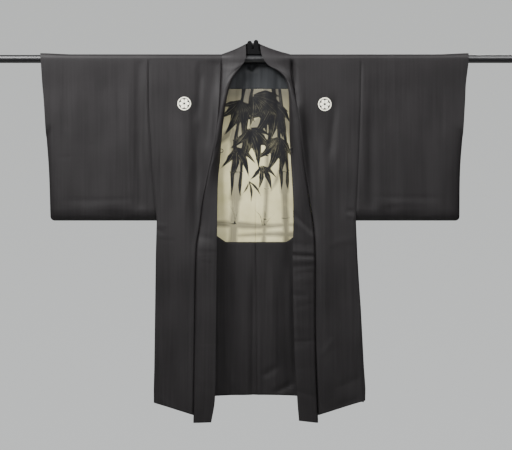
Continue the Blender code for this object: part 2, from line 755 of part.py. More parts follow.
def main():
    """Build every piece of the haori, its rod and its neck support."""
    for old in list(bpy.data.objects):
        bpy.data.objects.remove(old, do_unlink=True)

    def silk(name):
        return make_material(name, (0.036, 0.034, 0.034), 0.55)

    make_rod(make_material("rod_paint", (0.012, 0.012, 0.012), 0.32))
    make_support(make_material("support_plastic", (0.006, 0.006, 0.006), 0.45))
    for side in (-1, 1):
        name = side_name(side)
        make_body(side, silk("silk_body_" + name))
        make_sleeve(side, silk("silk_sleeve_" + name))
        make_gusset(side, silk("silk_gusset_" + name))
        make_loop(side, silk("cord_" + name))
        rows = back_rows((side,), LINING_ROW, LINING_START, len(BACK_LEVELS) - 1, HEM_SHARE)
        make_inner("facing_" + name, rows, silk("silk_facing_" + name))
    make_collar(silk("silk_collar"))
    make_inner("yoke_lining", back_rows((-1, 1), 0, YOKE_START, YOKE_ROW, 0.0),
               make_material("silk_yoke", (0.075, 0.077, 0.092), 0.6))
    make_inner("lining_back", back_rows((-1, 1), YOKE_ROW, LINING_START, LINING_ROW, 0.0),
               make_material("silk_lining", (0.58, 0.54, 0.42), 0.55))


main()
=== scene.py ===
"""The looks of a man's haori of black silk, hung open over a rod with a neck support.

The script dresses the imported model: each cloth is built again as a fine shell on its solid's
form, with the creases, seams and stitches that the solid leaves out, and every surface gets
its finish. Metres, +Z up. The front faces -Y, left and right are the viewer's, and the origin
is on the rod's axis below the neck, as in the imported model.
"""

import logging
import math
from abc import ABC, abstractmethod
from collections.abc import Iterable, Sequence
from dataclasses import dataclass, field
from enum import Enum
from typing import NamedTuple

import bmesh
import bpy
import numpy as np
from bpy.types import Material, Node, NodeSocket, NodeTree, Object
from mathutils import Matrix, Vector, noise


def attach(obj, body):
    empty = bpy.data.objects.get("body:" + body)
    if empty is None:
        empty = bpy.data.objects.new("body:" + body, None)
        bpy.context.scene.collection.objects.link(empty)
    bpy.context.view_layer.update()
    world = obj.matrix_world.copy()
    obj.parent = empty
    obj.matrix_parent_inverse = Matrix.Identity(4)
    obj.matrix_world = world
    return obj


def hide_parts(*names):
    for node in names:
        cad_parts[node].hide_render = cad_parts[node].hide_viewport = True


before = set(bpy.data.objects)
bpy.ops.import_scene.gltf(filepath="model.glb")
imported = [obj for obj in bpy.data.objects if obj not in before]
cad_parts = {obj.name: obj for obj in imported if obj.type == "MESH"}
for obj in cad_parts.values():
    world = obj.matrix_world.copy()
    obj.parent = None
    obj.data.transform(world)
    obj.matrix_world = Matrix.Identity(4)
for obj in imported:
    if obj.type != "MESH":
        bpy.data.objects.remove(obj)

logging.basicConfig(level=logging.INFO, format="%(message)s")
LOG = logging.getLogger("haori")
BODY = "root"
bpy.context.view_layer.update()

# Cloth: how near points are welded, and the bevel of its edges, as a share of the wall, and the
# angle in degrees from which an edge gets it
WELD, EDGE_SHARE, EDGE_ANGLE = 0.00002, 0.3, 65
# Creases: how many half widths one reaches, and the share of its run over which it dies out
CREASE_REACH = 2.6
CREASE_FADE = 0.3
BAND_FADE = 0.15
# The silk's unevenness: waves per metre across and down, and how high they rise, in metres
WIDE_WAVES, WIDE_RISE = (8.0, 2.2), 0.0011
FINE_WAVES, FINE_RISE = (36.0, 6.5), 0.00026
FINE_SHIFT = 5.0
FRONT_SEED, BACK_SEED, SLEEVE_FRONT_SEED, SLEEVE_BACK_SEED, COLLAR_SEED = 1.0, 2.0, 3.0, 4.0, 8.0
# Below the rod's axis, the depths over which creases, unevenness and rolled seams set in
CREASE_START, UNEVEN_START, ROLL_START = 0.018, 0.05, 0.03
# A brushed stroke, in mm: its finer parts between two places, the rounds that smooth its line,
# and the least length that a part counts with
STROKE_PARTS, STROKE_ROUNDS, LEAST_LENGTH = 8, 6, 1e-3
# A leaf's line: how far it sags, and shares of its length with shares of the sag
LEAF_SAG = 0.07
LEAF_LINE = ((0.04, 0.0), (0.3, 0.8), (0.6, 1.0), (1.0, 0.0))
# A cane's parts: the gap at a joint, its waist, a joint's reach, and the dark edges that a loaded
# brush leaves, by their place across and their half widths
JOINT_GAP, WAIST, JOINT_REACH = 0.012, 0.86, 1.25
CANE_EDGES = ((-0.74, (5.6, 4.2, 6.4)), (0.78, (3.6, 5.2, 4.0)))


class Side(Enum):
    """The viewer's side of the garment, looking at its front."""

    LEFT = -1
    RIGHT = 1

    @property
    def label(self) -> str:
        """The side's name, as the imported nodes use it."""
        return self.name.lower()


class Zone(Enum):
    """The stretches of a body panel, from its front hem over the rod to its back hem."""

    FRONT = "front"
    RIDGE = "ridge"
    NECK = "neck"
    BACK = "back"


class Hold(Enum):
    HUNG = "hung"
    FOLDED = "folded"


def smooth(value: float) -> float:
    """Ease a share from 0 to 1, flat at both ends."""
    share = min(max(value, 0.0), 1.0)
    return share * share * (3 - 2 * share)


def spread(start: float, end: float, steps: int) -> list[float]:
    """Evenly spaced values from start to end."""
    return [start + (end - start) * i / steps for i in range(steps + 1)]


class Curve:
    """A line through a table's values, level beyond its ends."""

    def __init__(self, rows: Sequence, column: str, straight: bool = False) -> None:
        """Take a column of a table, over the table's first column.

        Args:
            rows: the table's rows, whose first field is the key.
            column: the name of the column to read.
            straight: whether it runs straight between rows, and not smoothly.
        """
        pairs = sorted((row[0], getattr(row, column)) for row in rows)
        self.keys = [key for key, _ in pairs]
        self.values = [value for _, value in pairs]
        self.straight = straight
        last = len(pairs) - 1
        self.slopes = []
        for i in range(last + 1):
            low, high = max(i - 1, 0), min(i + 1, last)
            rise = self.values[high] - self.values[low]
            self.slopes.append(rise / (self.keys[high] - self.keys[low]))

    def at(self, key: float) -> float:
        """Read the line.

        Args:
            key: where to read it, in the table's first column.

        Returns:
            The column's value there.
        """
        if key <= self.keys[0]:
            return self.values[0]
        if key >= self.keys[-1]:
            return self.values[-1]
        here = next(i for i in range(len(self.keys) - 1) if key <= self.keys[i + 1])
        span = self.keys[here + 1] - self.keys[here]
        t = (key - self.keys[here]) / span
        ease = t if self.straight else 3 * t ** 2 - 2 * t ** 3
        value = self.values[here] * (1 - ease) + self.values[here + 1] * ease
        if not self.straight:
            value += (t ** 3 - 2 * t ** 2 + t) * span * self.slopes[here]
            value += (t ** 3 - t ** 2) * span * self.slopes[here + 1]
        return value


@dataclass(frozen=True)
class Crease:
    """A soft ridge in the hanging cloth, or a trough where its rise is negative.

    It runs on a line seen from the front, bowed sideways by bow at its middle, and dies out
    towards both ends.
    """

    x_top: float
    z_top: float
    x_end: float
    z_end: float
    rise: float
    half_width: float
    bow: float = 0.0

    def lift(self, x: float, z: float) -> float:
        """How far the crease raises the cloth at a place on it.

        Args:
            x: the place across.
            z: its height.

        Returns:
            The rise, 0 beyond the crease.
        """
        dx, dz = self.x_end - self.x_top, self.z_end - self.z_top
        square = dx * dx + dz * dz
        along = ((x - self.x_top) * dx + (z - self.z_top) * dz) / square
        if not 0.0 < along < 1.0:
            return 0.0
        across = ((x - self.x_top) * dz - (z - self.z_top) * dx) / math.sqrt(square)
        across -= self.bow * 4 * along * (1 - along)
        reach = across / self.half_width
        if abs(reach) > CREASE_REACH:
            return 0.0
        fade = smooth(along / CREASE_FADE) * smooth((1 - along) / CREASE_FADE)
        return self.rise * fade * math.exp(-reach * reach)


class EdgeRow(NamedTuple):
    """A row of an edge's table: its height, and the distance from the middle on each side."""

    height: float
    left: float
    right: float


class CollarRow(NamedTuple):
    """A row of the collar's free edge, at a distance down its seam from the centre back."""

    along: float
    x: float
    y: float
    z: float
    bulge: float


def from_mm(kind: type, rows: Sequence[Sequence[float]], measures: int | None = None) -> tuple:
    """Make a table whose rows are written in millimetres.

    Args:
        kind: the class of its rows.
        rows: the fields of each row.
        measures: how many of the first fields are in millimetres, where not all of them are.

    Returns:
        The rows, in metres.
    """
    return tuple(kind(*(value / 1000 for value in row[:measures]),
                      *(row[measures:] if measures else ())) for row in rows)


COLLAR_SEAM = from_mm(EdgeRow, (
    (14, 102, 102),
    (-60, 104, 108),
    (-140, 108, 120.5),
    (-240, 118, 134),
    (-350, 141, 148),
    (-430, 158, 161),
    (-505, 168, 172),
    (-570, 177.5, 176.5),
    (-840, 183, 177.5),
    (-1065, 186.5, 185),
))

SIDE_SEAM = from_mm(EdgeRow, (
    (14.2, 321, 316),
    (-150, 320, 313),
    (-340, 310, 306),
    (-485, 297, 299),
    (-590, 299.8, 303.5),
    (-760, 301.8, 313.5),
    (-960, 304, 322),
    (-1030, 305.5, 326.5),
))

CUFF_EDGE = from_mm(EdgeRow, (
    (14, 646.5, 637),
    (-10, 644, 636),
    (-75, 640, 628.5),
    (-120, 636, 626.5),
    (-215, 630, 621),
    (-333, 621.5, 612.5),
    (-485, 616.5, 610.5),
))

CHEST_STAND = from_mm(EdgeRow, (
    (0, 0, 0),
    (-60, 5, 4),
    (-130, 13, 10),
    (-220, 17, 15),
    (-320, 13, 12),
    (-430, 8, 8),
    (-560, 3, 3),
    (-700, 1, 1),
    (-1066, 1, 1),
))

COLLAR_LEFT = from_mm(CollarRow, (
    (0, -9.5, 21.5, 50, 0),
    (45, -22.5, 19.5, 49.5, 1),
    (80, -28.5, 13, 47, 3),
    (107, -30, -1, 40, 1),
    (129, -30, -16, 7, 4),
    (159, -34.5, -19.5, -9, 5),
    (189, -43, -22, -22, 6),
    (219, -56, -24, -38, 6),
    (250, -69, -24, -58, 6),
    (280, -78, -20, -82, 7),
    (315, -89, -11, -115, 8),
    (350, -99, 1, -152, 9),
    (380, -103.5, 5, -192, 9),
    (416, -105.5, 6, -238, 8),
    (457, -108, 3, -293, 6),
    (519, -114, -9, -362, 4),
    (581, -115.5, -19, -433, 3),
    (657, -116, -25, -516, 3),
    (737, -117.5, -27, -600, 3),
    (977, -120, -28, -840, 3),
    (1158, -122.5, -28, -1020, 2),
    (1227, -133.5, -27, -1087, 1),
))

COLLAR_RIGHT = from_mm(CollarRow, (
    (0, -9.5, 21.5, 50, 0),
    (45, 3.5, 19.5, 49.5, 1),
    (80, 9.5, 13, 47, 0),
    (107, 11, -1, 40, -4),
    (129, 18.5, -16, 7, 2),
    (159, 35, -19.5, -19, 4),
    (189, 59, -21, -33, 5),
    (219, 80, -20, -49, 6),
    (254, 93, -14, -72, 7),
    (280, 98, -8, -96, 8),
    (315, 100, -2, -140, 9),
    (350, 100.5, 0, -190, 8),
    (390, 102, -4, -245, 7),
    (446, 105, -11, -308, 5),
    (497, 108, -16, -362, 4),
    (563, 111, -21, -430, 3),
    (640, 111, -25, -506, 3),
    (737, 109.5, -27, -600, 3),
    (977, 114, -28, -840, 3),
    (1158, 123, -28, -1020, 2),
    (1227, 128, -27, -1082, 1),
))

# The folds that the solids have too
FRONT_FOLDS = from_mm(Crease, (
    (-163, -10, -180, -200, -5, 11),
    (-180, -110, -179, -600, -11, 17),
    (-214, -160, -210, -760, 3, 20),
    (-262, -40, -246, -520, -2.2, 20),
    (-252, -560, -262, -1150, -3, 22),
    (109, -5, 128, -150, -7.5, 8),
    (143, -90, 178, -620, -11.5, 17),
    (205, -200, 214, -800, 3.2, 20),
    (240, -90, 219, -330, -4, 15),
    (268, -520, 282, -1150, -3.2, 24),
))

BACK_FOLDS = from_mm(Crease, (
    (-205, -60, -222, -1150, 3.4, 26),
    (-150, -300, -140, -1150, -3, 22),
    (-78, -520, -74, -1150, 3, 15),
    (-34, -600, -38, -1150, -2.8, 14),
    (46, -560, 56, -1150, -3.6, 13),
    (104, -420, 108, -1150, 3.8, 16),
    (162, -120, 172, -1150, -3, 24),
    (236, -60, 252, -1150, 3.2, 26),
    (-12, -12, -12, -300, 2.8, 10),
    (32, -20, 36, -260, -1.8, 14),
))

SLEEVE_FOLDS = from_mm(Crease, (
    (-346, -60, -348, -700, -4.5, 16),
    (-420, -120, -428, -700, 2.4, 24),
    (-505, -60, -498, -700, -2.6, 26),
    (348, -40, 342, -700, -4, 16),
    (432, -100, 438, -700, 2.6, 26),
    (520, -60, 512, -700, -2.4, 24),
))

# Finer creases, which only the cloth of this script has
FRONT_CREASES = from_mm(Crease, (
    (-279, 4, -272, -40, 0.6, 4),
    (-271, 2, -266, -34, -0.7, 4),
    (-262, -22, -250, -72, -0.6, 4, 2),
    (-212, -4, -196, -60, 0.7, 6, 3),
    (-159, -4, -182, -58, -1.3, 5, 2),
    (-181, -40, -183, -290, 1.2, 7, -2),
    (-116, 60, -140, -430, -5, 29),
    (-152, -260, -170, -580, -5.2, 15),
    (-187, -150, -190, -600, 3, 13),
    (-232, -200, -240, -470, -0.9, 10, 4),
    (-196, -300, -214, -500, 1.2, 7, 3),
    (-284, -250, -290, -480, -1.2, 6),
    (-303, -508, -272, -524, -1.2, 3.5),
    (-300, -496, -262, -502, 0.9, 4),
    (-304, -541, -230, -547, -0.4, 5, -2),
    (-304, -532, -240, -537, 0.3, 5),
    (-292, -640, -286, -1100, -2.9, 12, 3),
    (-258, -860, -268, -1120, -1.6, 14),
    (-228, -500, -232, -1060, 2.2, 16, 4),
    (-200, -600, -206, -980, -1, 10, -3),
    (-296, -1000, -240, -1060, 0.9, 8),
    (104.5, 50, 115, -130, -9.5, 4.2),
    (154, -120, 182, -560, -5.4, 16),
    (104, -4, 124, -34, -1.2, 3.5),
    (112, 0, 134, -26, 0.7, 4),
    (236, 4, 239, -50, -0.7, 3.5),
    (243, 2, 245, -46, 0.6, 4),
    (233, -160, 223, -300, -1.6, 5, 1),
    (247, -150, 239, -340, 1, 8),
    (196, -160, 205, -480, 1.2, 9, -3),
    (262, -240, 250, -520, -0.9, 9, 2),
    (283, -180, 280, -480, -0.7, 6),
    (266, -452, 300, -461, -1.6, 4),
    (262, -466, 304, -478, 1, 5),
    (205, -562, 304, -538, 0.7, 10, -3),
    (200, -540, 216, -900, 1.6, 11, 3),
    (240, -600, 254, -1000, -1.3, 12, -4),
    (298, -600, 314, -1100, -1.9, 10, 3),
    (192, -896, 236, -830, 1, 9),
    (222, -990, 326, -944, -1, 11, 4),
    (214, -1052, 320, -1012, -2.2, 12, 3),
))

BACK_CREASES = from_mm(Crease, (
    (-58, -10, -62, -180, 1.6, 8, 2),
    (-30, -16, -27, -150, -2.2, 7),
    (-12, 10, -12, -42, 7.5, 12),
    (12, -14, 13, -130, -1.4, 6),
    (62, -12, 66, -210, 1.8, 9, -2),
    (86, -80, 90, -420, -1.4, 11),
    (-92, -120, -96, -480, -1.2, 12),
    (-20, -180, -14, -540, 1, 12, 3),
    (-7, -560, -8, -1180, 5.6, 6.5, 1),
    (0, -300, 0, -1300, 2.4, 2.8),
    (12, -700, 10, -1060, -1.6, 7),
    (-92, -900, -66, -1004, -1.4, 7),
    (-62, -980, -86, -1024, 1.4, 5),
    (14, -958, 70, -918, 3.4, 9, 2),
    (36, -1012, 124, -966, 4.4, 9, 2),
    (98, -560, 106, -1030, -3.4, 8),
    (-250, -100, -262, -700, -1.8, 14, 4),
    (-176, -60, -186, -460, 1.4, 11),
    (200, -80, 210, -620, -1.8, 13, -4),
    (276, -240, 268, -520, 1.4, 9),
    (-304, -500, -250, -530, 1.6, 6),
    (304, -498, 246, -526, 1.8, 6),
))

SLEEVE_CREASES = from_mm(Crease, (
    (-329, 60, -324, -470, 1.7, 4.8),
    (-349, 50, -350, -380, -3.7, 9, 1),
    (-362, -20, -360, -330, -1.1, 12, 3),
    (-384, -90, -390, -400, 0.9, 14, -4),
    (-456, -40, -462, -300, -0.9, 15, 5),
    (-568, -80, -562, -240, -1.2, 8, 2),
    (-548, -160, -556, -420, 0.7, 12),
    (-530, -262, -470, -254, -0.5, 3, 1),
    (-598, -296, -538, -292, -0.6, 4, 1),
    (-596, -214, -552, -222, 0.4, 5),
    (-420, -330, -424, -460, -0.6, 8),
    (-600, -424, -330, -418, -0.7, 5, 2),
    (-588, -444, -340, -440, 0.6, 7),
    (-500, -462, -360, -466, -1.2, 7, 2),
    (331, 50, 322, -440, 1.7, 11),
    (352, 40, 342, -400, -0.8, 9),
    (388, -130, 382, -290, -1.1, 10, 3),
    (466, -60, 470, -360, 0.9, 13, -3),
    (500, -150, 506, -400, -1.1, 13, 4),
    (562, -40, 558, -240, -0.9, 5),
    (576, -60, 570, -300, 0.7, 7, 2),
    (400, -330, 412, -420, 0.7, 10),
    (330, -412, 590, -416, -0.7, 5, 2),
    (340, -430, 580, -436, 0.6, 8),
    (352, -456, 430, -446, -1.5, 8, 2),
    (450, -470, 560, -456, -1.2, 7, -2),
))


@dataclass(frozen=True)
class BandCrease:
    """A crease across the collar band, which may slant and may reach only part of its width.

    It lies at a way along the seam, slants by so much over the width, and has a rise and a half
    width in metres, and the shares of the width where it starts and ends.
    """

    along: float
    slant: float
    rise: float
    half_width: float
    first: float = 0.0
    last: float = 1.0

    def lift(self, along: float, share: float) -> float:
        """How far the crease raises the band at a place on it.

        Args:
            along: the way along the seam.
            share: the share of the band's width.

        Returns:
            The rise, 0 beyond the crease.
        """
        reach = (along - self.along - self.slant * (share - 0.5)) / self.half_width
        if abs(reach) > CREASE_REACH:
            return 0.0
        first, last = (share - self.first) / BAND_FADE, (self.last - share) / BAND_FADE
        return self.rise * (smooth(first + 1) * smooth(last + 1)) * math.exp(-reach * reach)


# The collar's cross creases, whose shares of the width aren't lengths
LEFT_BAND_CREASES = from_mm(BandCrease, (
    (148, 40, -0.8, 6),
    (176, 32, 0.7, 6, 0.0, 0.8),
    (206, -30, -0.8, 6),
    (233, -16, 0.6, 7, 0.2, 1.0),
    (262, 34, -0.7, 7),
    (300, 30, 0.6, 12),
    (382, -60, -1.7, 9, 0.1, 0.9),
    (425, -50, 0.9, 10),
    (676, 12, -1, 9, 0.1, 0.7),
    (702, 4, 0.3, 8),
    (717, 2, -0.6, 3.5),
    (730, 6, -0.5, 3.5, 0.4, 1.0),
    (748, 0, -0.4, 4, 0.3, 1.0),
    (990, 0, -0.8, 2.4),
    (996, 0, 0.4, 4),
    (1120, 14, -0.4, 10),
), 4)

RIGHT_BAND_CREASES = from_mm(BandCrease, (
    (152, -36, -0.8, 6),
    (186, -20, 0.7, 6, 0.1, 1.0),
    (219, 30, -0.7, 7),
    (254, 18, 0.6, 7, 0.0, 0.8),
    (270, -30, 0.7, 10),
    (330, 40, -0.7, 12),
    (628, -66, -2.4, 9, 0.0, 0.9),
    (650, -60, 1.3, 10),
    (694, -10, -1, 10, 0.2, 1.0),
    (716, -6, 1.1, 6),
    (728, -6, -2, 4.5),
    (742, 0, 1.3, 7),
    (759, 4, -1.1, 5.5),
    (778, 2, -0.6, 6, 0.0, 0.7),
    (800, 4, 0.6, 10),
    (846, -6, -1.1, 8, 0.5, 1.0),
    (876, 8, -0.7, 7, 0.0, 0.8),
    (940, -4, 0.6, 14),
    (981, 2, -1.4, 2.8),
    (991, 4, -1, 10, 0.4, 1.0),
    (1060, 10, -0.5, 12),
    (1140, -20, -0.8, 10),
), 4)


def relief(creases: Iterable[Crease], x: float, z: float, seed: float) -> float:
    """How far creases and the silk's slight unevenness raise the cloth at a place.

    Args:
        creases: the creases that may reach the place.
        x: the place across, in metres.
        z: its height.
        seed: picks the piece of unevenness, which differs from cloth to cloth.

    Returns:
        The rise off the cloth's plain form, which dies out where the rod carries it.
    """
    wide = noise.noise(Vector((x * WIDE_WAVES[0], z * WIDE_WAVES[1], seed)))
    fine = noise.noise(Vector((x * FINE_WAVES[0], z * FINE_WAVES[1], seed + FINE_SHIFT)))
    uneven = WIDE_RISE * wide + FINE_RISE * fine
    creased = sum(crease.lift(x, z) for crease in creases) * smooth(-z / CREASE_START)
    return creased + uneven * smooth(-z / UNEVEN_START)


@dataclass(frozen=True)
class Drape:
    """How the silk lies over the rod and hangs: the form that all the panels share.

    Heights are measured from the rod's axis. The fields are in metres.
    """

    cloth: float = 0.0016
    lining: float = 0.0010
    band: float = 0.0022
    gap: float = 0.0003
    seam: float = 0.00004
    bend: float = 0.0141
    neck_half_width: float = 0.102
    neck_drop: float = 0.028
    neck_power: float = 1.6
    hem_front: float = -1.066
    hem_slope: float = 0.31
    hem_inner: float = 0.186
    hem_back: float = -1.010
    hem_back_side: float = 0.020
    back_half_width: float = 0.31
    hem_bend_start: float = -0.60
    collar_hem: float = -1.089
    armpit: float = -0.485
    yoke_end: float = -0.0885
    lining_end: float = -0.549
    lining_corner: float = 0.091
    lining_corner_width: float = 0.026
    lining_corner_rise: float = 0.018
    lining_side: float = 0.25
    lining_side_fade: float = 0.10
    lining_bend_reach: float = 0.10
    depth_hem: float = 0.0225
    back_ease: float = 0.0012
    back_ease_reach: float = 0.025
    stand_reach: float = 0.020
    seam_roll: float = 0.0022
    seam_roll_width: float = 0.0034
    collar_groove: float = 0.0046
    collar_groove_width: float = 0.0024
    hem_groove: float = 0.0036
    hem_groove_start: float = -0.70
    hem_groove_reach: float = 0.30
    front_top: float = -0.003
    back_top: float = -0.012
    ridge_steps: int = 18
    neck_steps: int = 6
    collar_seam: dict = field(default_factory=lambda: both_sides(COLLAR_SEAM))
    side_seam: dict = field(default_factory=lambda: both_sides(SIDE_SEAM, straight=True))
    cuff_edge: dict = field(default_factory=lambda: both_sides(CUFF_EDGE))
    chest_stand: dict = field(default_factory=lambda: both_sides(CHEST_STAND))

    def groove(self, side: Side, z: float) -> float:
        """How far the collar's seam draws the silk in: further down the right front.

        Args:
            side: the seam's side.
            z: the height.

        Returns:
            The groove's depth.
        """
        if side is Side.LEFT:
            return self.collar_groove
        near_hem = smooth((self.hem_groove_start - z) / self.hem_groove_reach)
        return self.collar_groove + self.hem_groove * near_hem

    @property
    def quarter(self) -> float:
        """The way along the cloth from the ridge to the height of the rod's axis."""
        return self.bend * math.pi / 2

    def half_depth(self, z: float) -> float:
        """Half the depth of the hanging garment at a height."""
        return self.bend + (self.depth_hem - self.bend) * smooth(z / self.hem_front)

    def front_depth(self, side: Side, x: float, z: float) -> float:
        """Depth of the front's outer face.

        Args:
            side: the panel's side.
            x: the place across, signed.
            z: its height.

        Returns:
            The depth, below 0.
        """
        from_seam = abs(x) - self.collar_seam[side].at(z)
        stand = self.chest_stand[side].at(z) * math.exp(-(from_seam / self.stand_reach) ** 2)
        folds = sum(fold.lift(x, z) for fold in FRONT_FOLDS)
        return -(self.half_depth(z) + stand + folds + relief(FRONT_CREASES, x, z, FRONT_SEED))

    def back_depth(self, x: float, z: float) -> float:
        """Depth of the back's outer face.

        Args:
            x: the place across, signed.
            z: its height.

        Returns:
            The depth, above 0.
        """
        ease = self.back_ease * smooth(-z / self.back_ease_reach)
        folds = sum(fold.lift(x, z) for fold in BACK_FOLDS)
        return self.half_depth(z) + ease + folds + relief(BACK_CREASES, x, z, BACK_SEED)

    def hang(self, side: Side, x: float, down: float) -> Vector:
        """A point on the body's outer face.

        Args:
            side: the panel's side.
            x: the place across, signed.
            down: the way from the ridge along the cloth, below 0 on the back.

        Returns:
            The point.
        """
        if abs(down) <= self.quarter:
            angle = down / self.bend
            return Vector((x, -self.bend * math.sin(angle), self.bend * math.cos(angle)))
        z = self.quarter - abs(down)
        depth = self.front_depth(side, x, z) if down > 0 else self.back_depth(x, z)
        return Vector((x, depth, z))

    def front_hem(self, x: float) -> float:
        """Height of the front hem, which falls towards the collar."""
        return self.hem_front + (abs(x) - self.hem_inner) * self.hem_slope

    def back_hem(self, x: float) -> float:
        """Height of the back hem."""
        return self.hem_back - self.hem_back_side * (x / self.back_half_width) ** 2

    def row_height(self, level: float, hem: float, reference: float) -> float:
        """Height of a row, which follows the hem in the lower part."""
        near = smooth((level - self.hem_bend_start) / (reference - self.hem_bend_start))
        return level + (hem - reference) * near

    def corner_rise(self, x: float) -> float:
        """How far the pale lining's lower edge rises at its slanted corners.

        Args:
            x: the place across.

        Returns:
            The rise.
        """
        rise = min(max((abs(x) - self.lining_corner) / self.lining_corner_width, 0.0), 1.0)
        inside = smooth((self.lining_side - abs(x)) / self.lining_side_fade)
        return self.lining_corner_rise * rise * inside

    def back_height(self, level: float, x: float) -> float:
        """Height of a row of the back, one of which follows the lining's lower edge."""
        near = smooth(1 - abs(level - self.lining_end) / self.lining_bend_reach)
        return self.row_height(level, self.back_hem(x), self.hem_back) + self.corner_rise(x) * near

    def neck_half(self, back_down: float) -> float:
        """Half width of the neck opening at a way behind the ridge."""
        share = min(back_down / self.neck_drop, 1.0)
        return self.neck_half_width * (1 - share ** self.neck_power) ** (1 / self.neck_power)

    def inner_edge(self, side: Side, zone: Zone, key: float) -> tuple[float, float]:
        """The edge that the collar is sewn to, or the centre back seam.

        Args:
            side: the panel's side.
            zone: the stretch of the panel.
            key: the row's level on the front and the back, else the way from the ridge.

        Returns:
            The distance from the middle, and the way down from the ridge.
        """
        if zone is Zone.FRONT:
            x = self.collar_seam[side].at(key)
            return x, self.quarter - self.row_height(key, self.front_hem(x), self.hem_front)
        if zone is Zone.BACK:
            return self.seam, self.back_height(key, 0.0) - self.quarter
        return max(self.neck_half(max(-key, 0.0)), self.seam), key

    def body_point(self, side: Side, zone: Zone, key: float, share: float) -> Vector:
        """A point of a body panel.

        Args:
            side: the panel's side.
            zone: the stretch of the panel.
            key: the row's key in that stretch.
            share: the share of the way from the inner to the outer edge.

        Returns:
            The point.
        """
        inner, down = self.inner_edge(side, zone, key)
        x = inner + (self.side_seam[side].at(self.quarter - abs(down)) - inner) * share
        if zone is Zone.FRONT:
            down = self.quarter - self.row_height(key, self.front_hem(x), self.hem_front)
        if zone is Zone.BACK:
            down = self.back_height(key, x) - self.quarter
        return self.hang(side, side.value * x, down)

    def body_stations(self, step: float) -> list[tuple[Zone, float]]:
        """The rows of a body panel, from front hem to back hem.

        Args:
            step: the distance between rows on the hanging stretches.

        Returns:
            Each row's zone and key.
        """
        front_rows = round((self.front_top - self.hem_front) / step)
        back_rows = round((self.back_top - self.hem_back) / step)
        front = spread(self.hem_front, self.front_top, front_rows)
        ridge = spread(self.quarter, -self.quarter, self.ridge_steps)
        neck = [-self.quarter - (self.neck_drop - self.quarter) * math.sin(math.pi / 2 * share)
                for share in spread(0.0, 1.0, self.neck_steps)[1:]]
        back = spread(self.back_top, self.hem_back, back_rows)
        rows = [(Zone.FRONT, key) for key in front] + [(Zone.RIDGE, key) for key in ridge]
        return rows + [(Zone.NECK, key) for key in neck] + [(Zone.BACK, key) for key in back]


def both_sides(rows: Sequence, straight: bool = False) -> dict[Side, Curve]:
    """Make the curves of an edge's two sides from its table."""
    return {side: Curve(rows, side.label, straight) for side in Side}


def edged(steps: int, edge: float, fine: float) -> list[float]:
    """Shares across a panel, evenly spaced but closer at both edges, where seams turn in.

    Args:
        steps: the number of even steps.
        edge: the share that the closer steps take at each edge.
        fine: the first of them.

    Returns:
        The shares from 0 to 1.
    """
    close = [0.0, fine, fine * 2.2, edge * 0.6]
    middle = spread(edge, 1.0 - edge, steps)
    return close + middle + [1.0 - share for share in reversed(close)]


def linear(code: str) -> tuple[float, float, float, float]:
    """Turn an sRGB hex value to linear colour.

    Args:
        code: six hex digits after a #.

    Returns:
        Red, green, blue and an alpha of 1.
    """
    values = [int(code[i:i + 2], 16) / 255 for i in (1, 3, 5)]
    return (*[v / 12.92 if v <= 0.04045 else ((v + 0.055) / 1.055) ** 2.4 for v in values], 1.0)


def fill(tree: NodeTree, node: Node, settings: dict, links: dict) -> Node:
    """Give a node its settings and links.

    Args:
        tree: the node tree that it is in.
        node: the node.
        settings: its options and its inputs' values, by name or number.
        links: the sockets, or nodes by their first output, that feed its inputs.

    Returns:
        The node.
    """
    for name, value in settings.items():
        if isinstance(name, str) and hasattr(node, name):
            setattr(node, name, value)
        else:
            node.inputs[name].default_value = value
    for name, source in links.items():
        socket = source.outputs[0] if isinstance(source, Node) else source
        tree.links.new(socket, node.inputs[name])
    return node


def add_node(tree: NodeTree, kind: str, settings: dict | None = None,
             links: dict | None = None) -> Node:
    """Add a node with its settings and links.

    Args:
        tree: the node tree that it joins.
        kind: the node's type, without the words ShaderNode.
        settings: its settings, as fill takes them.
        links: its links, likewise.

    Returns:
        The node.
    """
    return fill(tree, tree.nodes.new("ShaderNode" + kind), settings or {}, links or {})


def bands(period: float) -> float:
    """The scale of a Wave texture whose bands lie a period apart, in metres."""
    return 2 * math.pi / (20 * period)


class Finish(ABC):
    """A finish that turns into one material, made when it is first asked for."""

    name: str

    def material(self) -> Material:
        """The finish's material.

        Returns:
            The material, made once only.
        """
        made = bpy.data.materials.get(self.name)
        if made is None:
            made = bpy.data.materials.new(self.name)
            made.use_nodes = True
            tree = made.node_tree
            self.dress(tree, tree.nodes["Principled BSDF"])
        return made

    @abstractmethod
    def dress(self, tree: NodeTree, shader: Node) -> None:
        """Fill in the shader and the nodes that feed it."""


@dataclass(frozen=True)
class Crest:
    """A dyed roundel on the silk: its centre as seen from the front, and whether on the back."""

    x: float
    z: float
    on_back: bool = False


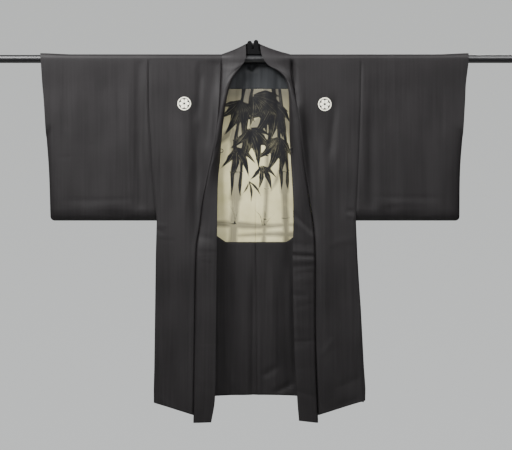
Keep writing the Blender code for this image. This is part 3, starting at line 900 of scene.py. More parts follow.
@dataclass(frozen=True)
class BlackSilk(Finish):
    """Plain-woven black silk: deep dye, a soft gloss on its flat yarns and faint warp streaks."""

    name: str
    colour: str = "#110F10"
    streak: str = "#222021"
    roughness: float = 0.58
    sheen: float = 0.02
    thread: float = 0.0009
    crests: tuple[Crest, ...] = ()
    crest_white: str = "#F4F0DE"
    crest_radius: float = 0.0200

    def dress(self, tree: NodeTree, shader: Node) -> None:
        """Weave the cloth, dye it and reserve its roundels.

        Args:
            tree: the material's nodes.
            shader: its shader.
        """
        weave = add_node(tree, "UVMap", {"uv_map": "Weave"})
        place = add_node(tree, "TexCoord").outputs["Object"]
        # Warp yarns differ slightly from one another: streaks a few mm wide and long down the bolt
        stretch = add_node(tree, "Mapping", {"Scale": (150.0, 3.6, 1.0)}, {"Vector": weave})
        warp = add_node(tree, "TexNoise", {"Scale": 1.0, "Detail": 3.0}, {"Vector": stretch})
        cloud = add_node(tree, "TexNoise", {"Scale": 7.0, "Detail": 3.0}, {"Vector": place})
        both = add_node(tree, "Math", {"operation": "MULTIPLY", 1: 0.55}, {0: warp})
        tone = add_node(tree, "Math", {"operation": "MULTIPLY_ADD", 1: 0.6}, {0: cloud, 2: both})
        dye = add_node(tree, "ValToRGB", {}, {0: tone})
        dye.color_ramp.elements[0].position = 0.30
        dye.color_ramp.elements[0].color = linear(self.colour)
        dye.color_ramp.elements[1].position = 0.85
        dye.color_ramp.elements[1].color = linear(self.streak)
        colour = self.reserve(tree, place, dye.outputs[0])
        fill(tree, shader, {"Roughness": self.roughness, "Sheen Weight": self.sheen,
                            "Sheen Roughness": 0.45, "Specular IOR Level": 0.20, "IOR": 1.50},
             {"Base Color": colour, "Normal": self.weave_relief(tree, weave, warp)})

    def weave_relief(self, tree: NodeTree, weave: Node, warp: Node) -> Node:
        """Make the small relief of warp and weft.

        The yarns are about 0.2 mm apart in the cloth and are drawn coarser, so that they show.

        Args:
            tree: the material's nodes.
            weave: the place on the cut cloth.
            warp: the warp's streaks.

        Returns:
            The Bump node.
        """
        warp_bands, weft_bands = bands(self.thread), bands(self.thread * 1.3)
        across = add_node(tree, "TexWave", {"bands_direction": "X", "Scale": warp_bands},
                          {"Vector": weave})
        along = add_node(tree, "TexWave", {"bands_direction": "Y", "Scale": weft_bands},
                         {"Vector": weave})
        yarns = add_node(tree, "Math", {"operation": "MULTIPLY"},
                         {0: across.outputs["Fac"], 1: along.outputs["Fac"]})
        uneven = add_node(tree, "Math", {"operation": "MULTIPLY_ADD", 1: 1.4}, {0: warp, 2: yarns})
        return add_node(tree, "Bump", {"Strength": 0.13, "Distance": 0.0003}, {"Height": uneven})

    def reserve(self, tree: NodeTree, place: NodeSocket, dyed: NodeSocket) -> NodeSocket:
        """Leave the roundels undyed: a plain ring round a plain six-petalled flower.

        Args:
            tree: the material's nodes.
            place: the place on the object.
            dyed: the dyed colour.

        Returns:
            The colour with the roundels in it.
        """
        if not self.crests:
            return dyed
        split = add_node(tree, "SeparateXYZ", {}, {0: place})
        size = self.crest_radius
        white = None
        for crest in self.crests:
            centre = (crest.x, 0.0, crest.z)
            offset = add_node(tree, "VectorMath", {"operation": "SUBTRACT", 1: centre}, {0: place})
            flat = add_node(tree, "VectorMath", {"operation": "MULTIPLY", 1: (1.0, 0.0, 1.0)},
                            {0: offset})
            length = add_node(tree, "VectorMath", {"operation": "LENGTH"}, {0: flat})
            radius = length.outputs["Value"]
            parts = add_node(tree, "SeparateXYZ", {}, {0: flat})
            turn = add_node(tree, "Math", {"operation": "ARCTAN2"}, {0: parts.outputs[2], 1: parts})
            thrice = add_node(tree, "Math", {"operation": "MULTIPLY", 1: 3.0}, {0: turn})
            wave = add_node(tree, "Math", {"operation": "COSINE"}, {0: thrice})
            lobe = add_node(tree, "Math", {"operation": "ABSOLUTE"}, {0: wave})
            petal = add_node(tree, "Math", {"operation": "MULTIPLY_ADD", 1: size * 0.26,
                                            2: size * 0.50}, {0: lobe})
            in_petal = add_node(tree, "Math", {"operation": "LESS_THAN"}, {0: radius, 1: petal})
            off_vein = add_node(tree, "Math", {"operation": "GREATER_THAN", 1: 0.16}, {0: lobe})
            off_eye = add_node(tree, "Math", {"operation": "GREATER_THAN", 1: size * 0.17},
                               {0: radius})
            flower = add_node(tree, "Math", {"operation": "MULTIPLY"}, {0: in_petal, 1: off_vein})
            eyed = add_node(tree, "Math", {"operation": "MULTIPLY"}, {0: flower, 1: off_eye})
            ring_in = add_node(tree, "Math", {"operation": "GREATER_THAN", 1: size * 0.84},
                               {0: radius})
            ring_out = add_node(tree, "Math", {"operation": "LESS_THAN", 1: size}, {0: radius})
            ring = add_node(tree, "Math", {"operation": "MULTIPLY"}, {0: ring_in, 1: ring_out})
            mark = add_node(tree, "Math", {"operation": "MAXIMUM"}, {0: eyed, 1: ring})
            side = "GREATER_THAN" if crest.on_back else "LESS_THAN"
            face = add_node(tree, "Math", {"operation": side, 1: 0.0}, {0: split.outputs[1]})
            shown = add_node(tree, "Math", {"operation": "MULTIPLY"}, {0: mark, 1: face})
            white = shown if white is None else add_node(
                tree, "Math", {"operation": "MAXIMUM"}, {0: white, 1: shown})
        mixed = add_node(tree, "Mix", {"data_type": "RGBA", 7: linear(self.crest_white)},
                         {0: white, 6: dyed})
        return mixed.outputs[2]


@dataclass(frozen=True)
class YokeSilk(Finish):
    """Slate-coloured silk of the inner yoke, smooth and slightly glossy."""

    name: str = "slate_silk_yoke"
    colour: str = "#303234"
    shade: str = "#1D1E20"

    def dress(self, tree: NodeTree, shader: Node) -> None:
        """Give it streaks down the warp and a fine weave.

        Args:
            tree: the material's nodes.
            shader: its shader.
        """
        weave = add_node(tree, "UVMap", {"uv_map": "Weave"})
        stretch = add_node(tree, "Mapping", {"Scale": (170.0, 7.0, 1.0)}, {"Vector": weave})
        warp = add_node(tree, "TexNoise", {"Scale": 1.0, "Detail": 3.0}, {"Vector": stretch})
        dye = add_node(tree, "ValToRGB", {}, {0: warp})
        dye.color_ramp.elements[0].color = linear(self.shade)
        dye.color_ramp.elements[1].color = linear(self.colour)
        yarns = add_node(tree, "TexWave", {"bands_direction": "X", "Scale": bands(0.0008)},
                         {"Vector": weave})
        bump = add_node(tree, "Bump", {"Strength": 0.15, "Distance": 0.0002},
                        {"Height": yarns.outputs["Fac"]})
        fill(tree, shader, {"Roughness": 0.55, "Specular IOR Level": 0.15},
             {"Base Color": dye, "Normal": bump})


@dataclass(frozen=True)
class InkedSilk(Finish):
    """Undyed silk with a design brushed in ink: washes soak in softly, strokes stay sharper.

    The strokes come as three point values of the piece: for washes and for ink the way to the
    edge of the nearest stroke, below nothing inside it, and the way across the brush's hairs.
    """

    name: str = "inked_silk_lining"
    ground: str = "#D0C99F"
    aged: str = "#B1AA7F"
    ink: str = "#0B0B0E"
    # The wash colour also serves as the painted shade that darkens the top of the cloth
    wash: str = "#4B4842"

    def dress(self, tree: NodeTree, shader: Node) -> None:
        """Lay ground, the painted shade at the top, washes and strokes over one another.

        Args:
            tree: the material's nodes.
            shader: its shader.
        """
        weave = add_node(tree, "UVMap", {"uv_map": "Weave"})
        cloud = add_node(tree, "TexNoise", {"Scale": 11.0, "Detail": 4.0}, {"Vector": weave})
        ground = add_node(tree, "ValToRGB", {}, {0: cloud})
        ground.color_ramp.elements[0].position = 0.30
        ground.color_ramp.elements[0].color = linear(self.aged)
        ground.color_ramp.elements[1].position = 0.72
        ground.color_ramp.elements[1].color = linear(self.ground)
        # Painted shade: the top of the cloth is darkened towards the wash colour, as shade falls
        # under the yoke, and fades out over 15 cm
        place = add_node(tree, "TexCoord").outputs["Object"]
        split = add_node(tree, "SeparateXYZ", {}, {0: place})
        painted_top_shade = add_node(tree, "MapRange", {"From Min": -0.250, "From Max": -0.105, "To Max": 0.86},
                        {"Value": split.outputs[2]})
        shaded = add_node(tree, "Mix", {"data_type": "RGBA", 7: linear(self.wash)},
                          {0: painted_top_shade, 6: ground})
        laid = shaded.outputs[2]
        # Ink creeps along the yarns, so its edge wavers by about a millimetre
        bleed = add_node(tree, "TexNoise", {"Scale": 420.0, "Detail": 2.0}, {"Vector": weave})
        # The brush's hairs leave streaks a few millimetres apart along a stroke that runs dry
        brush = add_node(tree, "Attribute", {"attribute_name": "brush"})
        hairs = add_node(tree, "TexNoise",
                         {"noise_dimensions": "1D", "Scale": 380.0, "Detail": 1.0},
                         {"W": brush.outputs["Fac"]})
        patch = add_node(tree, "TexNoise", {"Scale": 30.0, "Detail": 3.0}, {"Vector": weave})
        dry = add_node(tree, "Math", {"operation": "MULTIPLY_ADD", 1: 0.9}, {0: patch, 2: hairs})
        for name, colour, soft, waver, strength in (("wash", self.wash, 0.0045, 0.0030, 0.72),
                                                    ("ink", self.ink, 0.0007, 0.0010, 1.00)):
            way = add_node(tree, "Attribute", {"attribute_name": name})
            edge = add_node(tree, "Math", {"operation": "MULTIPLY_ADD", 1: waver},
                            {0: bleed, 2: way.outputs["Fac"]})
            cover = add_node(tree, "MapRange",
                             {"From Min": waver / 2 + soft, "From Max": waver / 2 - soft,
                              "To Min": 0.0, "To Max": strength}, {"Value": edge})
            streaks = add_node(tree, "MapRange",
                               {"From Min": 0.64, "From Max": 0.90, "To Min": 0.72,
                                "To Max": 1.0}, {"Value": dry})
            share = add_node(tree, "Math", {"operation": "MULTIPLY"}, {0: cover, 1: streaks})
            mixed = add_node(tree, "Mix", {"data_type": "RGBA", 7: linear(colour)},
                             {0: share, 6: laid})
            laid = mixed.outputs[2]
        yarns = add_node(tree, "TexWave", {"bands_direction": "Y", "Scale": bands(0.0009)},
                         {"Vector": weave})
        bump = add_node(tree, "Bump", {"Strength": 0.12, "Distance": 0.0002},
                        {"Height": yarns.outputs["Fac"]})
        fill(tree, shader, {"Roughness": 0.60, "Specular IOR Level": 0.20},
             {"Base Color": laid, "Normal": bump})


@dataclass(frozen=True)
class Thread(Finish):
    """Twisted sewing silk or braided cord: matt, with a ply that shows from close by, in bump and
    painted shade.
    """

    name: str
    colour: str
    ply: float = 0.0012

    def dress(self, tree: NodeTree, shader: Node) -> None:
        """Colour it, with painted shade in the grooves of its twist, and give it a twist.

        Args:
            tree: the material's nodes.
            shader: its shader.
        """
        place = add_node(tree, "TexCoord").outputs["Object"]
        twist = add_node(tree, "TexWave", {"bands_direction": "DIAGONAL", "Scale": bands(self.ply)},
                         {"Vector": place})
        dye = add_node(tree, "ValToRGB", {}, {0: twist.outputs["Fac"]})
        light = linear(self.colour)
        # Painted shade: the twist's grooves, where the bump sinks, are darkened to 0.6 of the
        # colour
        dye.color_ramp.elements[0].color = (*[v * 0.6 for v in light[:3]], 1.0)
        dye.color_ramp.elements[1].color = light
        bump = add_node(tree, "Bump", {"Strength": 0.4, "Distance": 0.0002},
                        {"Height": twist.outputs["Fac"]})
        fill(tree, shader, {"Roughness": 0.65}, {"Base Color": dye, "Normal": bump})


@dataclass(frozen=True)
class SatinPaint(Finish):
    """Black satin paint on a wooden rod: even, with a soft highlight and faint handling marks."""

    name: str = "satin_paint_rod"
    colour: str = "#0C0C0E"
    worn: str = "#121214"

    def dress(self, tree: NodeTree, shader: Node) -> None:
        """Vary its gloss along the rod.

        Args:
            tree: the material's nodes.
            shader: its shader.
        """
        place = add_node(tree, "TexCoord").outputs["Object"]
        stretch = add_node(tree, "Mapping", {"Scale": (9.0, 60.0, 60.0)}, {"Vector": place})
        marks = add_node(tree, "TexNoise", {"Scale": 1.0, "Detail": 5.0}, {"Vector": stretch})
        gloss = add_node(tree, "MapRange", {"To Min": 0.34, "To Max": 0.46}, {"Value": marks})
        dye = add_node(tree, "ValToRGB", {}, {0: marks})
        dye.color_ramp.elements[0].color = linear(self.colour)
        dye.color_ramp.elements[1].color = linear(self.worn)
        grain = add_node(tree, "TexNoise", {"Scale": 1400.0, "Detail": 1.0}, {"Vector": place})
        bump = add_node(tree, "Bump", {"Strength": 0.05, "Distance": 0.0001}, {"Height": grain})
        fill(tree, shader, {}, {"Base Color": dye, "Roughness": gloss, "Normal": bump})


@dataclass(frozen=True)
class MouldedRubber(Finish):
    """Black moulded rubber of the neck support: matt, with a fine grain that grips the silk."""

    name: str = "moulded_rubber_support"
    colour: str = "#020203"
    worn: str = "#060607"

    def dress(self, tree: NodeTree, shader: Node) -> None:
        """Give it its grain.

        Args:
            tree: the material's nodes.
            shader: its shader.
        """
        place = add_node(tree, "TexCoord").outputs["Object"]
        grain = add_node(tree, "TexNoise", {"Scale": 900.0, "Detail": 3.0}, {"Vector": place})
        dye = add_node(tree, "ValToRGB", {}, {0: grain})
        dye.color_ramp.elements[0].color = linear(self.colour)
        dye.color_ramp.elements[1].color = linear(self.worn)
        bump = add_node(tree, "Bump", {"Strength": 0.25, "Distance": 0.0002}, {"Height": grain})
        fill(tree, shader, {"Roughness": 0.75, "Specular IOR Level": 0.10},
             {"Base Color": dye, "Normal": bump})


@dataclass(frozen=True)
class PaintedBoard(Finish):
    """The studio's pale painted floor board, rolled matt."""

    name: str = "painted_board_floor"
    colour: str = "#C9CAC8"
    shade: str = "#C2C3C1"

    def dress(self, tree: NodeTree, shader: Node) -> None:
        """Give it the faint unevenness of rolled paint.

        Args:
            tree: the material's nodes.
            shader: its shader.
        """
        place = add_node(tree, "TexCoord").outputs["Object"]
        roll = add_node(tree, "TexNoise", {"Scale": 3.0, "Detail": 4.0}, {"Vector": place})
        dye = add_node(tree, "ValToRGB", {}, {0: roll})
        dye.color_ramp.elements[0].color = linear(self.shade)
        dye.color_ramp.elements[1].color = linear(self.colour)
        fill(tree, shader, {"Roughness": 0.8}, {"Base Color": dye})


def place_mesh(name: str, bm: bmesh.types.BMesh, finish: Finish) -> Object:
    """Put a finished bmesh into the scene.

    Args:
        name: the piece's name.
        bm: its bmesh, which is freed.
        finish: its finish.

    Returns:
        The piece.
    """
    mesh = bpy.data.meshes.new(name)
    bm.to_mesh(mesh)
    bm.free()
    mesh.materials.append(finish.material())
    piece = bpy.data.objects.new(name, mesh)
    bpy.context.scene.collection.objects.link(piece)
    return piece


def lay_cloth(name: str, rows: list[list[Vector]], weave: list[list[tuple[float, float]]],
              wall: float, outward: Vector, finish: Finish, inset: float = 0.0,
              centred: bool = False,
              ways: dict[str, list[float]] | None = None) -> Object:
    """Make one cloth as a shell: a grid laid on its points and thickened inwards.

    Args:
        name: the piece's name.
        rows: the points of its outer face, row by row.
        weave: for each point, the place across and along the cut cloth, in metres.
        wall: its thickness.
        outward: roughly where the first face looks.
        finish: its finish.
        inset: how far inside the points it lies, which are then another cloth's.
        centred: whether the points run through the middle of its thickness.
        ways: named values of its points, such as the way to a brushed stroke.

    Returns:
        The cloth, in place.
    """
    bm = bmesh.new()
    bmesh.ops.create_grid(bm, x_segments=len(rows[0]) - 1, y_segments=len(rows) - 1, size=1.0)
    cut = bm.loops.layers.uv.new("Weave")
    places = [place for row in weave for place in row]
    for vert, point in zip(bm.verts, [point for row in rows for point in row]):
        vert.co = point
        for loop in vert.link_loops:
            loop[cut].uv = places[vert.index]
    for way, values in (ways or {}).items():
        layer = bm.verts.layers.float.new(way)
        for vert, value in zip(bm.verts, values):
            vert[layer] = value
    bmesh.ops.remove_doubles(bm, verts=bm.verts, dist=WELD)
    bm.faces.ensure_lookup_table()
    bm.normal_update()
    if bm.faces[0].normal.dot(outward) < 0:
        bmesh.ops.reverse_faces(bm, faces=bm.faces)
    cloth = place_mesh(name, bm, finish)
    cloth.data.shade_smooth()
    shell = cloth.modifiers.new("Wall", "SOLIDIFY")
    shell.thickness = wall
    shell.offset = 0.0 if centred else -1.0 - 2.0 * inset / wall
    shell.use_even_offset = True
    shell.use_quality_normals = True
    edge = cloth.modifiers.new("Folded_edge", "BEVEL")
    edge.width = wall * EDGE_SHARE
    edge.segments = 2
    edge.limit_method = "ANGLE"
    edge.angle_limit = math.radians(EDGE_ANGLE)
    return cloth


class SubAssembly(ABC):
    """A group of pieces that are made and sewn on together."""

    @abstractmethod
    def build(self) -> list[Object]:
        """Make the pieces, dress them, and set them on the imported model."""


@dataclass
class BodyPanels(SubAssembly):
    """The two body lengths, each of one cut from front hem over the rod to back hem."""

    drape: Drape
    step: float = 0.0062
    columns: int = 40
    edge_share: float = 0.030
    first_share: float = 0.006
    cut: tuple[float, float] = (0.325, 2.125)
    cut_area: float = 0.470
    crests: dict = field(default_factory=lambda: {
        Side.LEFT: (Crest(-0.2148, -0.1347), Crest(0.0, -0.092, on_back=True)),
        Side.RIGHT: (Crest(0.2058, -0.1365), Crest(0.0, -0.092, on_back=True))})

    def build(self) -> list[Object]:
        """Lay both lengths over the rod."""
        return [self.lay(side) for side in Side]

    def lay(self, side: Side) -> Object:
        """Lay one length over the rod.

        Args:
            side: its side.

        Returns:
            The panel.
        """
        drape = self.drape
        shares = edged(self.columns, self.edge_share, self.first_share)
        rows, weave = [], []
        for zone, key in drape.body_stations(self.step):
            down = drape.inner_edge(side, zone, key)[1]
            row = [drape.body_point(side, zone, key, share) for share in shares]
            weave.append([(point.x, down) for point in row])
            rows.append([self.turn_in(side, zone, point) for point in row])
        finish = BlackSilk("woven_silk_body_" + side.label, crests=self.crests[side])
        panel = lay_cloth("silk_body_" + side.label, rows, weave, drape.cloth,
                          Vector((0, -1, 0)), finish)
        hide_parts("body_" + side.label)
        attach(panel, BODY)
        return panel

    def turn_in(self, side: Side, zone: Zone, point: Vector) -> Vector:
        """Roll the cloth inwards where a seam holds its edge, at the side and at the collar.

        Args:
            side: the panel's side.
            zone: the stretch of the panel.
            point: a point of its outer face.

        Returns:
            The point, moved in.
        """
        drape = self.drape
        if zone not in (Zone.FRONT, Zone.BACK):
            return point
        to_side = drape.side_seam[side].at(point.z) - abs(point.x)
        roll = drape.seam_roll * math.exp(-(to_side / drape.seam_roll_width) ** 2)
        if zone is Zone.FRONT:
            to_inner = abs(point.x) - drape.collar_seam[side].at(point.z)
            near = math.exp(-(to_inner / drape.collar_groove_width) ** 2)
            roll += drape.groove(side, point.z) * near
        inwards = 1.0 if zone is Zone.FRONT else -1.0
        return point + Vector((0.0, inwards * roll * smooth(-point.z / ROLL_START), 0.0))


@dataclass
class Sleeves(SubAssembly):
    """The two sleeves: flat tubes over the rod, open at the body and at the upper cuff."""

    drape: Drape
    columns: int = 40
    step: float = 0.0066
    mouth_end: float = -0.235
    mouth_curve: float = 0.042
    bottom_round: float = 0.017
    cuff_round: float = 0.030
    corner_round: float = 0.013
    cuff_lift: float = 0.0035
    cuff_lift_reach: float = 0.10
    slim: float = 0.0030
    slim_reach: float = 0.10
    slim_share: float = 0.4
    fold_stop: float = 0.06
    crease_stop: float = 0.014
    back_shift: float = 0.034
    ring_top: float = -0.006
    ring_end: float = -0.455
    round_steps: int = 9
    seam_shares: tuple[float, ...] = (0.0, 0.005, 0.011, 0.018)
    plain_start: float = 0.027
    tuck: float = 0.0080
    tuck_fall: float = 0.45
    tuck_reach: float = 0.030
    cut: tuple[float, float] = (0.322, 1.010)
    cut_area: float = 0.320
    cuff_stations: tuple[float, ...] = (0.030, 0.026, 0.022, 0.018, 0.015, 0.012, 0.009, 0.0065,
                                        0.0045, 0.003, 0.0015, 0.0006, 0.0)
    crests: dict = field(default_factory=lambda: {
        Side.LEFT: (Crest(-0.478, -0.118, on_back=True),),
        Side.RIGHT: (Crest(0.470, -0.118, on_back=True),)})

    def build(self) -> list[Object]:
        """Make both sleeves."""
        return [self.make(side) for side in Side]

    def bottom(self, from_cuff: float) -> float:
        """Height of the sewn bottom, rounded at the outer corner.

        Args:
            from_cuff: the distance from the outer edge.

        Returns:
            The height.
        """
        if from_cuff >= self.corner_round:
            return self.drape.armpit
        inside = self.corner_round ** 2 - (self.corner_round - from_cuff) ** 2
        return self.drape.armpit + self.corner_round - math.sqrt(inside)

    def half_depth(self, x: float, z: float, bottom: float, share: float, from_cuff: float,
                   on_back: bool) -> float:
        """Half depth of a sleeve: full at the mouth, rounded to its sewn bottom and outer edge.

        Args:
            x: the place across, signed.
            z: its height.
            bottom: the height of the sewn bottom there.
            share: the share of the way out along the sleeve.
            from_cuff: the distance from the outer edge.
            on_back: whether it is the back's depth.

        Returns:
            The depth of the outer face.
        """
        drape = self.drape
        slim = smooth(share / self.slim_share) * smooth(-z / self.slim_reach)
        tuck = self.tuck * (1 - self.tuck_fall * share) * smooth(1 - (z - bottom) / self.tuck_reach)
        depth = drape.half_depth(z) - self.slim * slim - tuck
        above = z - bottom
        depth += sum(fold.lift(x, z) for fold in SLEEVE_FOLDS) * smooth(above / self.fold_stop)
        shift = self.back_shift if on_back else 0.0
        seed = SLEEVE_BACK_SEED if on_back else SLEEVE_FRONT_SEED
        depth += relief(SLEEVE_CREASES, x + shift, z, seed) * smooth(above / self.crease_stop)
        to_bottom = (z - bottom) / self.bottom_round
        if to_bottom < 1:
            depth *= math.sqrt(max(1 - (1 - max(to_bottom, 0.0)) ** 2, 0.0))
        if from_cuff < self.cuff_round:
            sewn = math.sqrt(1 - (1 - from_cuff / self.cuff_round) ** 2)
            closed = min(max((self.mouth_end + self.mouth_curve - z) / self.mouth_curve, 0.0), 1.0)
            depth *= max(sewn, math.sqrt(1 - closed ** 2)) if closed < 1 else sewn
        from_seam = abs(x) - drape.side_seam[Side.LEFT if x < 0 else Side.RIGHT].at(z)
        roll = math.exp(-(from_seam / drape.seam_roll_width) ** 2) * smooth(-z / ROLL_START)
        return max(depth - drape.seam_roll * roll * smooth(to_bottom), 0.0)

    def ring(self, side: Side, share: float | None, from_cuff: float) -> list[tuple[Vector, float]]:
        """A ring of the sleeve, from the ridge down the front, round the bottom and up the back.

        Args:
            side: the sleeve's side.
            share: the share of the way out, or None for a ring at a fixed way from the cuff.
            from_cuff: the distance from the outer edge.

        Returns:
            Its points, each with the way along the cloth.
        """
        drape = self.drape
        seam, cuff = drape.side_seam[side], drape.cuff_edge[side]
        bottom = self.bottom(from_cuff)
        steps = round((self.ring_top - self.ring_end) / self.step)
        heights = spread(self.ring_top, self.ring_end, steps)
        heights += [bottom + self.bottom_round * (1 - math.sin(math.pi / 2 * part))
                    for part in spread(0.0, 1.0, self.round_steps)]

        def across(z: float) -> float:
            """The ring's distance from the middle at a height."""
            start, end = seam.at(z) + drape.seam, cuff.at(z) - self.cuff_stations[0]
            return cuff.at(z) - from_cuff if share is None else start + (end - start) * share

        lift = self.cuff_lift * smooth(1 - from_cuff / self.cuff_lift_reach)
        halves = []
        for on_back in (False, True):
            half = []
            for angle in spread(0.0, math.pi / 2, self.round_steps):
                z = drape.bend * math.cos(angle)
                half.append((across(z), drape.bend * math.sin(angle), z + lift * math.cos(angle)))
            for z in heights:
                x = across(z)
                part = 1.0 if share is None else share
                depth = self.half_depth(side.value * x, z, bottom, part, from_cuff, on_back)
                half.append((x, depth, z))
            halves.append(half)
        front, back = halves
        points = [(Vector((side.value * x, -y, z)), drape.quarter - z) for x, y, z in front]
        return points + [(Vector((side.value * x, y, z)), z - drape.quarter)
                         for x, y, z in reversed(back)]

    def make(self, side: Side) -> Object:
        """Make one sleeve.

        Args:
            side: its side.

        Returns:
            The sleeve.
        """
        drape = self.drape
        width = drape.cuff_edge[side].at(0.0) - drape.side_seam[side].at(0.0)
        plain = width - self.cuff_stations[0]
        shares = [*self.seam_shares, *spread(self.plain_start, 1.0, self.columns)[:-1]]
        rings = [self.ring(side, share, self.cuff_stations[0] + plain * (1 - share))
                 for share in shares]
        rings += [self.ring(side, None, from_cuff) for from_cuff in self.cuff_stations]
        rows = [[point for point, _ in ring] for ring in rings]
        weave = [[(point.x, way) for point, way in ring] for ring in rings]
        finish = BlackSilk("woven_silk_sleeve_" + side.label, crests=self.crests[side])
        sleeve = lay_cloth("silk_sleeve_" + side.label, rows, weave, drape.cloth,
                           Vector((0, 0, 1)), finish)
        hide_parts("sleeve_" + side.label)
        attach(sleeve, BODY)
        return sleeve


@dataclass
class Gussets(SubAssembly):
    """The narrow side gussets, folded inwards, from under the sleeves to the hem."""

    drape: Drape
    fold: float = 0.019
    power: float = 1.5
    edge_gap: float = 0.0005
    above: float = 0.01
    bottom_round: float = 0.017
    top_lap: float = 0.006
    foot: float = -1.024
    step: float = 0.009
    columns: int = 16
    cut: tuple[float, float] = (0.062, 0.545)
    cut_area: float = 0.0255

    def build(self) -> list[Object]:
        """Make both gussets."""
        return [self.make(side) for side in Side]

    def edge(self, side: Side, zone: Zone, hem: float) -> list[Vector]:
        """The body's outer edge, from the sleeve's bottom to below the gusset's foot.

        Args:
            side: its side.
            zone: the front or the back.
            hem: the level of its lower end.

        Returns:
            Its points.
        """
        steps = round((self.drape.armpit - hem) / self.step)
        return [self.drape.body_point(side, zone, level, 1.0)
                for level in spread(self.drape.armpit + self.above, hem, steps)]

    def make(self, side: Side) -> Object:
        """Make one gusset between the body's front and back edges.

        Args:
            side: its side.

        Returns:
            The gusset.
        """
        drape = self.drape
        front = self.edge(side, Zone.FRONT, drape.hem_front)
        back = self.edge(side, Zone.BACK, drape.hem_back)
        rows, weave = [], []
        for level in spread(drape.armpit, self.foot, round((drape.armpit - self.foot) / self.step)):
            near = at_height(front, level) + Vector((0, drape.cloth + self.edge_gap, 0))
            far = at_height(back, level) - Vector((0, drape.cloth + self.edge_gap, 0))
            depth = self.fold * smooth((drape.armpit - level) / (drape.armpit - drape.hem_back))
            row = []
            for share in spread(-1.0, 1.0, self.columns):
                point = near.lerp(far, (1 + share) / 2)
                point.x -= side.value * depth * ((1 + math.cos(math.pi * share)) / 2) ** self.power
                if level == drape.armpit:
                    point.z += self.bottom_round * (1 - math.sqrt(1 - share ** 2)) - self.edge_gap
                    point.z += self.top_lap * (1 - share ** 4)
                row.append(point)
            rows.append(row)
            weave.append([(point.y, drape.quarter - level) for point in row])
        finish = BlackSilk("woven_silk_gusset_" + side.label)
        gusset = lay_cloth("silk_gusset_" + side.label, rows, weave, drape.cloth,
                           Vector((side.value, 0, 0)), finish)
        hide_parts("gusset_" + side.label)
        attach(gusset, BODY)
        return gusset


def at_height(points: Sequence[Vector], z: float) -> Vector:
    """The point at a height on a falling line of points.

    Args:
        points: the line's points.
        z: the height.

    Returns:
        A new point.
    """
    for upper, lower in zip(points, points[1:]):
        if z >= lower.z:
            return upper.lerp(lower, min(max((upper.z - z) / (upper.z - lower.z), 0.0), 1.0))
    return points[-1].copy()


@dataclass(frozen=True)
class Stroke:
    """A stroke of the brush: its places and its half widths at start, middle and end, in mm."""

    places: tuple[tuple[float, float], ...]
    half_widths: tuple[float, float, float]
    is_wash: bool = False

    def reach(self, points: np.ndarray) -> tuple[np.ndarray, np.ndarray]:
        """How points lie to the stroke.

        Args:
            points: the points as rows of x and z, in mm.

        Returns:
            The distances from its edge, below 0 inside it, and the places across it.
        """
        stations = np.array(self.places, float)
        shares = np.linspace(0.0, 1.0, len(stations))
        fine = np.linspace(0.0, 1.0, STROKE_PARTS * (len(stations) - 1) + 1)
        line = np.stack([np.interp(fine, shares, stations[:, i]) for i in (0, 1)], axis=1)
        for _ in range(STROKE_ROUNDS):
            line[1:-1] = (line[:-2] + 2 * line[1:-1] + line[2:]) / 4
        width = np.interp(fine, (0.0, 0.5, 1.0), self.half_widths)
        way, across = np.full(len(points), np.inf), np.zeros(len(points))
        for start, end, thick, thin in zip(line, line[1:], width, width[1:]):
            ahead, offset = end - start, points - start
            length = max(float(np.linalg.norm(ahead)), LEAST_LENGTH)
            share = np.clip(offset @ ahead / length ** 2, 0.0, 1.0)
            off = np.linalg.norm(offset - share[:, None] * ahead, axis=1)
            here = off - (thick + (thin - thick) * share)
            aside = (offset[:, 0] * ahead[1] - offset[:, 1] * ahead[0]) / length
            nearer = here < way
            way, across = np.where(nearer, here, way), np.where(nearer, aside, across)
        return way, across


@dataclass(frozen=True)
class Cane:
    """A bamboo cane of short strokes that part at its joints, in mm."""

    foot: tuple[float, float]
    top: tuple[float, float]
    half_width: float
    joints: tuple[float, ...]
    bow: float
    is_wash: bool = False

    def place(self, share: float) -> tuple[float, float]:
        """The place at a share of the way up."""
        x = self.foot[0] + (self.top[0] - self.foot[0]) * share + self.bow * 4 * share * (1 - share)
        return x, self.foot[1] + (self.top[1] - self.foot[1]) * share

    def strokes(self) -> list[Stroke]:
        """One stroke between each two joints, and a thin one across each joint.

        Returns:
            The strokes.
        """
        made = []
        stops = (0.0, *self.joints, 1.0)
        for start, end in zip(stops, stops[1:]):
            middle = (start + end) / 2
            places = tuple(self.place(share)
                           for share in (start + JOINT_GAP, middle, end - JOINT_GAP))
            widths = (self.half_width, self.half_width * WAIST, self.half_width)
            made.append(Stroke(places, widths, True))
            if self.is_wash:
                continue
            for out, edge in CANE_EDGES:
                aside = tuple((x + out * width, z) for (x, z), width in zip(places, widths))
                made.append(Stroke(aside, edge if start > 0.0 else (0.3, *edge[1:])))
        for joint in self.joints:
            x, z = self.place(joint)
            reach = self.half_width * JOINT_REACH
            made.append(Stroke(((x - reach, z + 1.5), (x, z - 1.5), (x + reach, z + 2.0)),
                               (0.9, 1.6, 0.6)))
        return made


@dataclass(frozen=True)
class Spray:
    """Bamboo leaves that hang from one twig: each leaf's heading in degrees and its length in mm.

    The half width is that of a leaf 100 mm long.
    """

    x: float
    z: float
    leaves: tuple[tuple[float, float], ...]
    half_width: float = 7.2
    is_wash: bool = False

    def strokes(self) -> list[Stroke]:
        """One tapered stroke for each leaf.

        Returns:
            The strokes.
        """
        made = []
        for heading, length in self.leaves:
            angle = math.radians(heading)
            ahead, aside = (math.cos(angle), math.sin(angle)), (-math.sin(angle), math.cos(angle))
            sag = length * LEAF_SAG
            places = tuple((self.x + ahead[0] * length * share + aside[0] * sag * bend,
                            self.z + ahead[1] * length * share + aside[1] * sag * bend)
                           for share, bend in LEAF_LINE)
            widths = (1.0, self.half_width * length / 100, 0.3)
            made.append(Stroke(places, widths, self.is_wash))
        return made


